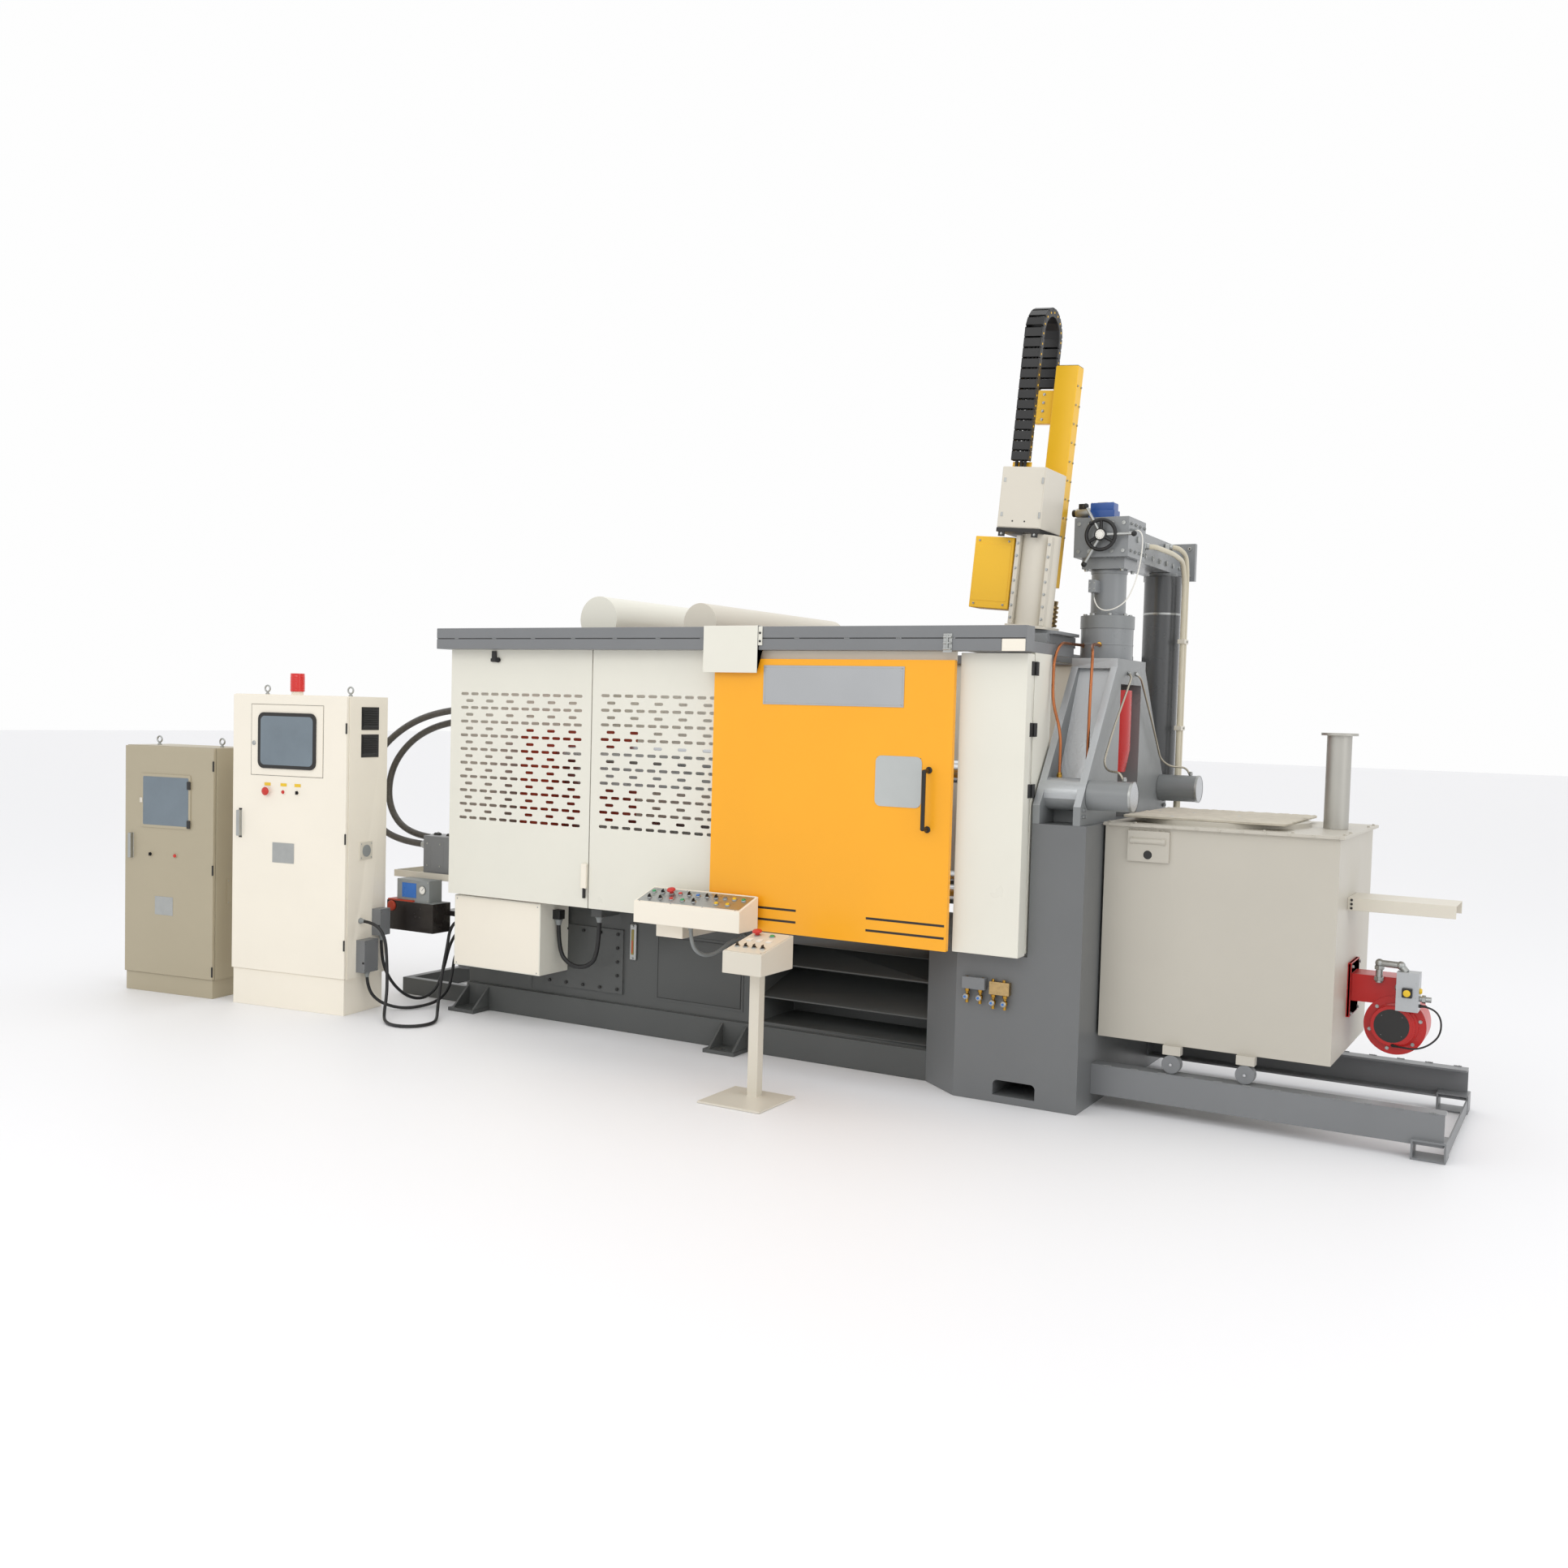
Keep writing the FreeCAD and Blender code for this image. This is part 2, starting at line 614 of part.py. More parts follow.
def build_guards():
    """Sheet guards with their doors, hanging rail and the covers above."""
    high = "door_top - door_bottom"
    first_long = f"{SECOND_LEFT} - door_gap - {HOUSING_LEFT}"
    node(box("first_door", HOUSING_LEFT, FRONT, "door_bottom", first_long, "sheet_thick", high))
    node(box("second_door", SECOND_LEFT, FRONT, "door_bottom", "second_door_length", "sheet_thick", high))
    back = "(housing_half - sheet_thick)"
    right_start = f"({FRONT} + service_return + door_gap)"
    right_sheet = box("right_end_sheet", "housing_right - sheet_thick", right_start, "door_bottom",
                      "sheet_thick", f"{back} - slack - {right_start}", high)
    end_window = box("right_end_window", "housing_right - sheet_thick - 1", "-end_window_half",
                     "door_bottom - 1", "sheet_thick + 2", "2 * end_window_half",
                     f"{high} + 2")
    barrels = []
    leaves = []
    for level in ("low", "middle", "high"):
        z = f"hinge_{level}"
        barrels.append(rod(f"hinge_barrel_{level}", "Z", HINGE_X, HINGE_Y, z, "hinge_radius", "hinge_height"))
        barrels.append(box(f"hinge_wing_{level}", "housing_right - 1", f"{HINGE_Y} + 3", z, "8", "36",
                           "hinge_height"))
        leaves.append(box(f"hinge_leaf_{level}", "housing_right - 1", f"{HINGE_Y} - hinge_radius - 34", z,
                          "7", "33.4", "hinge_height"))
    panels = [
        box("rear_left_panel", HOUSING_LEFT, back, "door_bottom", first_long, "sheet_thick", high),
        box("rear_middle_panel", SECOND_LEFT, back, "door_bottom", "second_door_length", "sheet_thick", high),
        box("rear_right_panel", f"{SECOND_RIGHT} + door_gap", back, "door_bottom",
            f"housing_right - {SECOND_RIGHT} - door_gap", "sheet_thick", high),
        box("left_end_panel", HOUSING_LEFT, f"{FRONT} + sheet_thick + slack", "door_bottom",
            "sheet_thick", f"{back} - slack - ({FRONT} + sheet_thick + slack)", high),
        join("right_end_panel", less("right_end_cut", right_sheet, end_window), *barrels),
    ]
    node(group("guard_panels", *panels))

    panel_low = "(door_bottom - 10)"
    panel_high = f"(door_top - door_gap - {panel_low})"
    panel = box("service_front", SERVICE_LEFT, FRONT, panel_low, "service_width", "sheet_thick", panel_high)
    fold = box("service_fold", "housing_right - sheet_thick", FRONT, panel_low, "sheet_thick",
               "service_return", panel_high)
    node(join("service_panel", panel, fold, *leaves))

    sheet = box("slide_sheet", SLIDE_LEFT, SLIDE_FRONT, "slide_bottom", "slide_length", "slide_thick",
                "slide_top - slide_bottom")
    hole = box("slide_hole", "-window_left", f"{SLIDE_FRONT} - 1", "window_bottom", "window_width",
               "slide_thick + 2", "window_height")
    hanger = box("slide_hanger", SLIDE_LEFT, f"{SLIDE_BACK} - 8", "slide_top - 1", "slide_length",
                 "8", "door_top - slide_top - slack + 1")
    plate = box("name_plate", "-plate_left", f"{SLIDE_FRONT} - 3", "plate_bottom", "plate_length", "4",
                "plate_height")
    node(join("safety_door", less("slide_panel", sheet, hole), hanger, plate))
    node(box("door_window", "-window_left", f"{SLIDE_BACK} - slide_thick / 2 - 3", "window_bottom",
             "window_width", "6", "window_height"))
    grip = f"({SLIDE_RIGHT} - handle_inset)"
    legs = []
    for end, z in (("low", "handle_bottom + handle_radius"),
                   ("high", "handle_bottom + handle_length - handle_radius")):
        legs.append(rod(f"handle_leg_{end}", "Y", grip, f"{SLIDE_FRONT} - handle_reach", z,
                        "handle_radius", "handle_reach"))
    bar = rod("handle_bar", "Z", grip, f"{SLIDE_FRONT} - handle_reach", "handle_bottom",
              "handle_radius", "handle_length")
    node(join("door_handle", bar, *legs))

    rail_left = f"({HOUSING_LEFT} - rail_overhang)"
    rail_back = f"({FRONT} + sheet_thick)"
    face = f"({rail_back} - sheet_thick - rail_depth)"
    rail = box("rail_bar", rail_left, face, "door_top", f"housing_right + 22 - {rail_left}",
               "rail_depth + sheet_thick", "rail_height")
    inner_back = "(housing_half - frame_tube)"
    tubes = [box("frame_back", HOUSING_LEFT, inner_back, "door_top", "housing_length", "frame_tube", "frame_tube")]
    for name, x in (("left", HOUSING_LEFT), ("hood", "(-hood_left - frame_tube / 2)"),
                    ("second_hood", "(-second_hood_left - frame_tube / 2)"),
                    ("spray", "(spray_x - 150)")):
        tubes.append(box(f"frame_{name}", x, f"{rail_back} - 1", "door_top", "frame_tube",
                         f"{inner_back} - {rail_back} + 2", "frame_tube"))
    for side, start, end in (("front", f"({rail_back} - 1)", "-drum_gap"), ("back", "drum_gap", inner_back)):
        tubes.append(box(f"frame_right_{side}", "housing_right - sheet_thick", start, "door_top", "sheet_thick",
                         f"{end} - {start} + 1", "frame_tube"))
    cover_low = f"({RAIL_TOP} - rail_height - rail_cover_drop)"
    front_sheet = box("rail_cover_front", "-rail_cover_left", f"{face} - rail_cover_gap - 4", cover_low,
                      "rail_cover_length", "4", f"{RAIL_TOP} + 4 - {cover_low}")
    top_sheet = box("rail_cover_top", "-rail_cover_left", f"{face} - rail_cover_gap - 4", RAIL_TOP,
                    "rail_cover_length", "rail_cover_gap + 90", "4")
    node(join("top_rail", rail, *tubes, front_sheet, top_sheet))
    hoods = []
    for name, left_edge, radius in (("hood", "hood_left", "hood_radius"),
                                    ("second_hood", "second_hood_left", "second_hood_radius")):
        hoods.append(rod(f"{name}_tube", "Y", f"-{left_edge}", "-hood_length / 2 + 40",
                         f"door_top + frame_tube + {radius}", radius, "hood_length"))
    node(group("roof_hoods", *hoods))


def build_toggle():
    """Clamp unit that shows through the guards' slots: platens, tie bars and toggle links."""
    platens = []
    for name, x in (("rear_platen", "-rear_platen_left"), ("moving_platen", "-moving_platen_left")):
        platens.append(box(name, x, "-platen_half", "column_top", "platen_thick", "2 * platen_half",
                           "platen_top_edge - column_top"))
    node(group("clamp_platens", *platens))
    bars = []
    for side, y in (("front", "-tie_bar_half"), ("back", "tie_bar_half")):
        for level, z in (("low", "tie_bar_low"), ("high", "tie_bar_high")):
            bars.append(rod(f"tie_bar_{side}_{level}", "X", "-rear_platen_left + platen_thick", y, z,
                            "tie_bar_radius", "rear_platen_left - platen_thick - moving_platen_left"))
            bars.append(rod(f"die_bar_{side}_{level}", "X", "-moving_platen_left + platen_thick", y, z,
                            "tie_bar_radius", "platen_left + moving_platen_left - platen_thick"))
    start = "(-rear_platen_left + platen_thick)"
    for side, y in (("front", "-200 - link_thick"), ("back", "200")):
        for level, low in (("low", "link_low"), ("high", "link_high")):
            bars.append(box(f"link_{side}_{level}", start, y, low, f"-moving_platen_left - {start}",
                            "link_thick", "link_height"))
    node(group("bars_and_links", *bars))


def build_desk():
    """Control desk on the bed and the free-standing push-button pedestal."""
    profile = [("-desk_front", "desk_bottom"), ("-desk_back", "desk_bottom"),
               ("-desk_back", "desk_high"), ("-desk_front", "desk_low")]
    desk = prism("desk_case", "YZ", profile, "desk_length", "-desk_left")
    knee = box("desk_knee", "-desk_left + 60", "-desk_back - 60", "slide_bottom - 70", "160",
               f"desk_back + 60 - {WALL_HALF}", "60")
    riser = box("desk_riser", "-desk_left + 60", "-desk_back - 60", "slide_bottom - 11", "160", "55",
                "desk_bottom - slide_bottom + 12")
    node(join("control_desk", desk, knee, riser))
    half = "stand_plate / 2"
    foot = box("stand_foot", f"-stand_x - {half}", f"-stand_y - {half}", "0", "stand_plate", "stand_plate",
               "stand_plate_thick")
    pole = box("stand_pole_bar", "-stand_x - stand_pole / 2", "-stand_y - stand_pole / 2 + stand_shift",
               "stand_plate_thick", "stand_pole", "stand_pole", "stand_box_bottom - stand_plate_thick")
    front = "(-stand_y + stand_shift - stand_box_width / 2)"
    profile = [(front, "stand_box_bottom"), (f"{front} + stand_box_width", "stand_box_bottom"),
               (f"{front} + stand_box_width", "stand_box_high"), (front, "stand_box_low")]
    case = prism("stand_case", "YZ", profile, "stand_box_length", "-stand_x - stand_box_length / 2")
    node(join("pedestal", foot, pole, case))


def yoke_slice(name, start, thick, setback):
    """One slice of the leaning front leg, with its outer edge set back by a depth."""
    outline = [
        (f"-column_reach + {setback}", "platen_top"),
        (f"-column_reach + {setback}", "yoke_knee"),
        (f"-yoke_top_half + {setback} * 0.1", "yoke_top"),
        ("0", "yoke_top"),
        ("0", "yoke_gap_top"),
        ("-yoke_gap", "yoke_gap_top"),
        ("-yoke_gap", "platen_top"),
    ]
    return prism(name, "YZ", outline, thick, start)


def build_injection():
    """Yoke casting over the furnace mouth with the injection cylinder, valves and accumulator."""
    left_rib = yoke_slice("leg_left_rib", "platen_left", "yoke_rib", "0")
    right_rib = yoke_slice("leg_right_rib", f"{YOKE_RIGHT} - yoke_rib", "yoke_rib", "0")
    web = yoke_slice("leg_web", "platen_left", "yoke_thick", "yoke_recess")
    boss = rod("leg_boss", "X", "platen_left", "-boss_reach", "boss_height", "boss_radius", "yoke_thick")
    lintel = box("leg_lintel", "platen_left", "-yoke_top_half - 30", "yoke_top - 48", "yoke_thick",
                 "100", "48")
    leg = join("front_leg", left_rib, right_rib, web, boss, lintel)
    guide = rod("plunger_guide", "Z", "drum_x", "0", "plunger_top + slack", "rod_radius + 14",
                "yoke_gap_top - plunger_top - slack + 1")
    bore = rod("plunger_bore", "Z", "drum_x", "0", "plunger_top", "rod_radius + slack",
               "yoke_top - plunger_top + 1")
    node(less("yoke", join("yoke_casting", leg, half_turn(leg), guide), bore))
    node(group("shift_rams",
               rod("front_ram", "X", YOKE_RIGHT, "-boss_reach", "boss_height", "ram_radius", "ram_length"),
               rod("back_ram", "X", YOKE_RIGHT, "boss_reach", "boss_height", "ram_radius", "ram_length")))

    drum = rod("drum_shell", "Z", "drum_x", "0", "yoke_top", "drum_radius - 4", "drum_height")
    flange = rod("drum_flange_disc", "Z", "drum_x", "0", "yoke_top + drum_height", "drum_radius", "drum_flange")
    base = "(yoke_top + drum_height + drum_flange)"
    tube = rod("injection_tube", "Z", "drum_x", "0", base, "cylinder_radius", f"cylinder_top - {base}")
    cap = box("injection_cap", "drum_x - cap_half", "-cap_half", "cylinder_top", "2 * cap_half", "2 * cap_half",
              "block_bottom - cylinder_top")
    sensor = box("stroke_sensor", "drum_x - 55", "-cylinder_radius - 62", "sensor_bottom", "36", "95", "60")
    node(join("injection_cylinder", drum, flange, tube, cap, sensor))
    block = box("block_body", BLOCK_LEFT, "-block_front", "block_bottom", "block_length", "block_front + block_rear",
                "block_height")
    bar = box("manifold_bar", "manifold_left", "block_rear - 1", "block_bottom", "manifold_width",
              "manifold_reach - block_rear - end_plate_thick + 2", "manifold_height")
    plate = box("manifold_plate", "manifold_left - 20", "manifold_reach - end_plate_thick", "block_bottom - 25",
                "end_plate_width", "end_plate_thick", "end_plate_height")
    spindle = rod("wheel_spindle", "Y", WHEEL_X, "-block_front - 5", WHEEL_Z, "14", "6")
    node(join("valve_block", block, bar, plate, spindle))
    bottle = rod("accumulator_bottle", "Z", "accumulator_x", "accumulator_y", "accumulator_bottom",
                 "accumulator_radius", "block_bottom - 20 - accumulator_bottom + 1")
    collar = rod("accumulator_collar", "Z", "accumulator_x", "accumulator_y", "block_bottom - 20",
                 "accumulator_radius - 22", "20")
    node(join("accumulator", bottle, collar))
    body = box("blue_valve_body", f"{BLOCK_LEFT} + 54", "-block_front + 40", BLOCK_TOP, "128", "90", "78")
    coil = rod("solenoid", "X", f"{BLOCK_LEFT} + 54 - 95", "-block_front + 85", f"{BLOCK_TOP} + 34", "24", "96")
    node(join("blue_valve", body, coil))

    hub = rod("wheel_hub", "Y", WHEEL_X, "-block_front - wheel_reach", WHEEL_Z, "34", "wheel_reach - 5 - slack")
    rim = ring("wheel_rim_ring", "Y", WHEEL_X, "-block_front - wheel_reach + 14", WHEEL_Z,
               "wheel_radius - wheel_rim", "wheel_rim")
    spoke = box("wheel_web", f"{WHEEL_X} - wheel_radius + wheel_rim", "-block_front - wheel_reach + 8",
                f"{WHEEL_Z} - 9", "2 * (wheel_radius - wheel_rim)", "12", "18")
    arms = []
    for index, angle in enumerate((0, 120, 240)):
        arm = rod(f"wheel_arm_{index}", "Z", WHEEL_X, "-block_front - wheel_reach + 32", WHEEL_Z, "6", "star_reach")
        arm.Placement.Rotation = FreeCAD.Rotation(FreeCAD.Vector(0, 1, 0), 90 - angle)
        knob = doc.addObject("Part::Sphere", f"wheel_knob_{index}")
        bind(knob, "Radius", "star_knob")
        across = round(math.cos(math.radians(angle)), 6)
        up = round(math.sin(math.radians(angle)), 6)
        put(knob, f"{WHEEL_X} + star_reach * {across}", "-block_front - wheel_reach + 32",
            f"{WHEEL_Z} + star_reach * {up}")
        arms += [arm, knob]
    node(join("handwheel", hub, rim, spoke, *arms))

    head = rod("plunger_head", "Z", "drum_x", "0", "plunger_middle", "plunger_radius",
               "plunger_top - plunger_middle")
    cone = doc.addObject("Part::Cone", "plunger_cone")
    bind(cone, "Radius1", "plunger_radius - 20")
    bind(cone, "Radius2", "plunger_radius")
    bind(cone, "Height", "plunger_middle - plunger_bottom")
    put(cone, "drum_x", "0", "plunger_bottom")
    shaft = rod("plunger_shaft", "Z", "drum_x", "0", "plunger_bottom - 60", "rod_radius", "61")
    ram = rod("plunger_ram", "Z", "drum_x", "0", "plunger_top - 1", "rod_radius", "yoke_top - plunger_top - 9")
    node(join("plunger", head, cone, shaft, ram))


def leaned(label, *pieces):
    """Stand pieces drawn about the spray robot's own axis on its leaning foot."""
    holder = doc.addObject("Part::Compound", label)
    holder.Links = list(pieces)
    holder.Placement.Rotation = FreeCAD.Rotation(FreeCAD.Vector(0, 1, 0), math.degrees(math.atan(size("spray_slope"))))
    holder.setExpression("Placement.Rotation.Angle", bound(SLOPE))
    put(holder, "spray_x", "spray_y", "spray_base")
    return node(holder)


def build_sprayer():
    """Leaning spray robot that stands on the guards' roof frame beside the die space."""
    rise = "170 * spray_slope"
    wedge = [("spray_x - 170", "spray_base - 26"), ("spray_x + 145", "spray_base - 26"),
             ("spray_x + 145", "spray_base - 145 * spray_slope"), ("spray_x - 170", f"spray_base + {rise}")]
    foot = prism("sprayer_wedge", "XZ", wedge, "330", "spray_y + 270")
    plate = box("sprayer_plate", "spray_x - 185", "spray_y - 100", "door_top + frame_tube", "295", "420",
                "spray_base - 25 - door_top - frame_tube")
    node(join("sprayer_base", foot, plate))

    post = rod("spray_post", "Z", "0", "0", "0", "spray_column", "spray_column_height")
    shelf = box("spray_shelf", "-spray_box_left", "-spray_box_width / 2", "spray_column_height - 1",
                "spray_box_length", "spray_box_width", "spray_bracket + 1")
    carriage = box("spray_carriage", "-arm_left", "spray_column - 12", "arm_bottom + 20", "arm_length",
                   f"{ARM_FRONT} - spray_column + 12 - slack", "spray_column_height - arm_bottom - 40")
    tab = box("side_box_tab", "-spray_column - 12", "-50", "180", "40", "100", "120")
    leaned("spray_column", join("spray_column_parts", post, shelf, carriage, tab))
    leaned("spray_box", box("spray_box_case", "-spray_box_left", "-spray_box_width / 2",
                            "spray_column_height + spray_bracket", "spray_box_length", "spray_box_width",
                            "spray_box_height"))
    leaned("side_box", box("side_box_case", "-side_box_left", "-side_box_width / 2", "80",
                           "side_box_length", "side_box_width", "side_box_height"))
    bar = box("arm_bar", "-arm_left", ARM_FRONT, "arm_bottom", "arm_length", "arm_width", "arm_height")
    bracket = box("arm_bracket", "-chain_left", f"{ARM_FRONT} + 14", "chain_end - 160",
                  "chain_left - arm_left + 1", "44", "160")
    leaned("spray_arm", join("spray_arm_parts", bar, bracket))
    head = rod("head_drum", "Z", "-arm_left + arm_length / 2 + 10", f"{ARM_FRONT} + arm_width / 2",
               "head_bottom", "head_radius", "head_height")
    stem = rod("head_stem", "Z", "-arm_left + arm_length / 2 + 10", f"{ARM_FRONT} + arm_width / 2",
               "head_bottom + head_height - 1", "18", "arm_bottom - head_bottom - head_height + 1")
    leaned("spray_head", join("spray_head_parts", head, stem))

    rear_run = box("chain_rear_run", "-chain_left", f"{CHAIN_Y} + chain_span / 2 - chain_thick", "chain_end",
                   "chain_width", "chain_thick", "chain_high - chain_end")
    front_run = box("chain_front_run", "-chain_left", f"{CHAIN_Y} - chain_span / 2", "chain_low", "chain_width",
                    "chain_thick", "chain_high - chain_low")
    outer = rod("chain_outer", "X", "-chain_left", CHAIN_Y, "chain_high", "chain_span / 2", "chain_width")
    inner = rod("chain_inner", "X", "-chain_left - 1", CHAIN_Y, "chain_high", "chain_span / 2 - chain_thick",
                "chain_width + 2")
    lower = box("chain_lower", "-chain_left - 1", f"{CHAIN_Y} - chain_span", "chain_high - chain_span",
                "chain_width + 2", "2 * chain_span", "chain_span")
    bend = less("chain_bend", outer, join("chain_bend_tool", inner, lower))
    foot = box("chain_foot", "-chain_left - 4", f"{CHAIN_Y} - chain_span / 2 - 6",
               "spray_column_height + spray_bracket + spray_box_height", "chain_width + 8", "chain_thick + 12",
               "chain_low - spray_column_height - spray_bracket - spray_box_height + 1")
    leaned("drag_chain", join("drag_chain_parts", rear_run, front_run, bend, foot))


def build_furnace():
    """Furnace on rollers, with its top, flue, burner and floor rails."""
    body = box("furnace_shell", FURNACE_LEFT, "-furnace_half", "furnace_bottom", "furnace_length",
               "2 * furnace_half", "furnace_top - furnace_bottom")
    lug = box("lifting_lug", f"{FURNACE_LEFT} + lug_left", "-furnace_half - 16",
              "furnace_top - lug_height - 16", "lug_width", "17", "lug_height")
    rollers = []
    brackets = []
    for end, x in (("left", f"{FURNACE_LEFT} + roller_inset"), ("right", f"{FURNACE_RIGHT} - roller_inset")):
        for side, y in (("front", "-rail_centre"), ("back", "rail_centre")):
            rollers.append(rod(f"roller_{side}_{end}", "Y", x, f"{y} - roller_width / 2",
                               "rail_top + roller_radius + slack", "roller_radius", "roller_width"))
            brackets.append(box(f"roller_bracket_{side}_{end}", f"{x} - 40", f"{y} - roller_width / 2",
                                "rail_top + 2 * roller_radius + 2 * slack", "80", "roller_width",
                                "furnace_bottom - rail_top - 2 * roller_radius + 1"))
    node(join("furnace_body", body, lug, *brackets))
    node(group("furnace_rollers", *rollers))
    top_sheet = box("furnace_top_sheet", f"{FURNACE_LEFT} - 6", "-furnace_half - top_plate_overhang",
                    "furnace_top", "furnace_length + top_plate_overhang + 6",
                    "2 * (furnace_half + top_plate_overhang)", "top_plate_thick")
    top = "(furnace_top + top_plate_thick)"
    collar = rod("collar_disc", "Z", f"{FURNACE_LEFT} + collar_offset", "0", f"{top} - 1", "collar_radius",
                 "collar_height + 1")
    bore = rod("collar_bore_tool", "Z", f"{FURNACE_LEFT} + collar_offset", "0", top, "collar_bore",
               "collar_height + 1")
    node(less("furnace_top_plate", join("furnace_top_parts", top_sheet, collar), bore))
    lid_left = f"({FURNACE_LEFT} + collar_offset - 330)"
    outline = [(lid_left, "-300"), (f"{lid_left} + 300", "-385"), (f"{lid_left} + 620", "-250"),
               (f"{lid_left} + 700", "20"), (f"{lid_left} + 560", "320"), (f"{lid_left} + 200", "380"),
               (f"{lid_left} - 40", "160")]
    node(renamed(prism("lid_slab", "XY", outline, "lid_thick", f"{top} + collar_height"), "furnace_lid"))
    flue_x = f"({FURNACE_RIGHT} - flue_offset)"
    pipe = rod("flue_shell", "Z", flue_x, "0", top, "flue_radius", "flue_height - flue_flange_thick")
    lip = rod("flue_lip", "Z", flue_x, "0", f"{top} + flue_height - flue_flange_thick", "flue_flange",
              "flue_flange_thick")
    inside = rod("flue_inside", "Z", flue_x, "0", f"{top} - 1", "flue_radius - flue_wall", "flue_height + 2")
    node(less("flue_pipe", join("flue_outside", pipe, lip), inside))
    arm_front = "-200"
    top_sheet = box("arm_top", FURNACE_RIGHT, arm_front, "tray_arm_top - 4", "tray_arm_length", "tray_arm_width", "4")
    skirts = []
    for side, shift in (("front", "0"), ("back", "tray_arm_width - 4")):
        skirts.append(box(f"arm_skirt_{side}", FURNACE_RIGHT, f"{arm_front} + {shift}",
                          "tray_arm_top - tray_arm_depth", "tray_arm_length", "4", "tray_arm_depth"))
    node(join("cable_arm", top_sheet, *skirts))

    plate = box("burner_plate", FURNACE_RIGHT, "-110", "burner_height - 117", "16", "220", "244")
    neck = box("burner_neck", f"{FURNACE_RIGHT} + 15", "-95", "burner_height - 42", "190", "150", "122")
    fan = rod("fan_volute", "Y", f"{FURNACE_RIGHT} + fan_offset", "-100", "burner_height - 130", "fan_radius", "170")
    cover = rod("fan_cover", "Y", f"{FURNACE_RIGHT} + fan_offset - 10", "-128", "burner_height - 130", "88", "29")
    fan_motor = rod("fan_motor", "Y", f"{FURNACE_RIGHT} + fan_offset", "69", "burner_height - 130", "72", "130")
    valve = box("gas_valve", f"{FURNACE_RIGHT} + fan_offset + 8", "-180", "burner_height - 50", "92", "81", "170")
    node(join("burner", plate, neck, fan, cover, fan_motor, valve))

    rails = []
    for side, y, open_side in (("front", "-rail_centre", "-rail_width / 2 + 8"), ("back", "rail_centre", "-rail_width / 2 - 1")):
        bar = box(f"rail_bar_{side}", "column_half", f"{y} - rail_width / 2", "rail_bottom", "rail_length",
                  "rail_width", "rail_top - rail_bottom")
        hollow = box(f"rail_hollow_{side}", "column_half + 8", f"{y} + {open_side}", "rail_bottom + 10",
                     "rail_length", "rail_width - 7", "rail_top - rail_bottom - 20")
        foot = box(f"rail_foot_{side}", "column_half + rail_length - 124", f"{y} - rail_width / 2 - 20",
                   "0", "136", "rail_width + 40", "85")
        foot_hollow = box(f"rail_foot_hollow_{side}", "column_half + rail_length - 116", f"{y} - rail_width / 2 - 21",
                          "8", "120", "rail_width + 42", "69")
        rails += [less(f"rail_{side}", bar, hollow), less(f"rail_stand_{side}", foot, foot_hollow)]
    tie = box("rail_tie", "column_half + rail_length + 2", "-rail_centre", "8", "8", "2 * rail_centre", "60")
    node(join("furnace_rails", *rails, tie))


def turned(item, x, y):
    """Stand a piece that was drawn at the origin on its cabinet's turned corner."""
    bind(item, "Placement.Base.x", x)
    bind(item, "Placement.Base.y", y)
    item.setExpression("Placement.Rotation.Angle", "Dims.cabinet_turn * 1 deg")
    return item


def tube(name, across, places, loose=True):
    """Sweep a round section along straight runs that meet in tangent arcs."""
    radius = size(across) / 2
    points = [FreeCAD.Vector(*[size(value) for value in place]) for place in places]
    edges = []
    length = 0
    bends = []
    start = points[0]
    for before, corner, after in zip(points, points[1:], points[2:]):
        into = (corner - before).normalize()
        away = (after - corner).normalize()
        turn = into.getAngle(away)
        reach = 0.45 * min((corner - before).Length, (after - corner).Length)
        bend = reach / math.tan(turn / 2)
        enter = corner - into * reach
        leave = corner + away * reach
        middle = corner + (away - into).normalize() * (bend / math.cos(turn / 2) - bend)
        edges.append(Part.LineSegment(start, enter).toShape())
        edges.append(Part.Arc(enter, middle, leave).toShape())
        length += (enter - start).Length + bend * turn
        bends.append(bend)
        start = leave
    edges.append(Part.LineSegment(start, points[-1]).toShape())
    length += (points[-1] - start).Length
    spine = Part.Wire(edges)
    section = Part.Wire(Part.Circle(points[0], points[1] - points[0], radius).toShape())
    item = doc.addObject("Part::Feature", name)
    item.Shape = spine.makePipeShell([section], True, False)
    expected = math.pi * radius**2 * length
    print(f"{name:16s} length {length:7.1f}  tightest bend {min(bends):6.1f} = {min(bends) / radius / 2:4.1f} diameters"
          f"  volume / (section x length) {item.Shape.Volume / expected:.4f}")
    return item


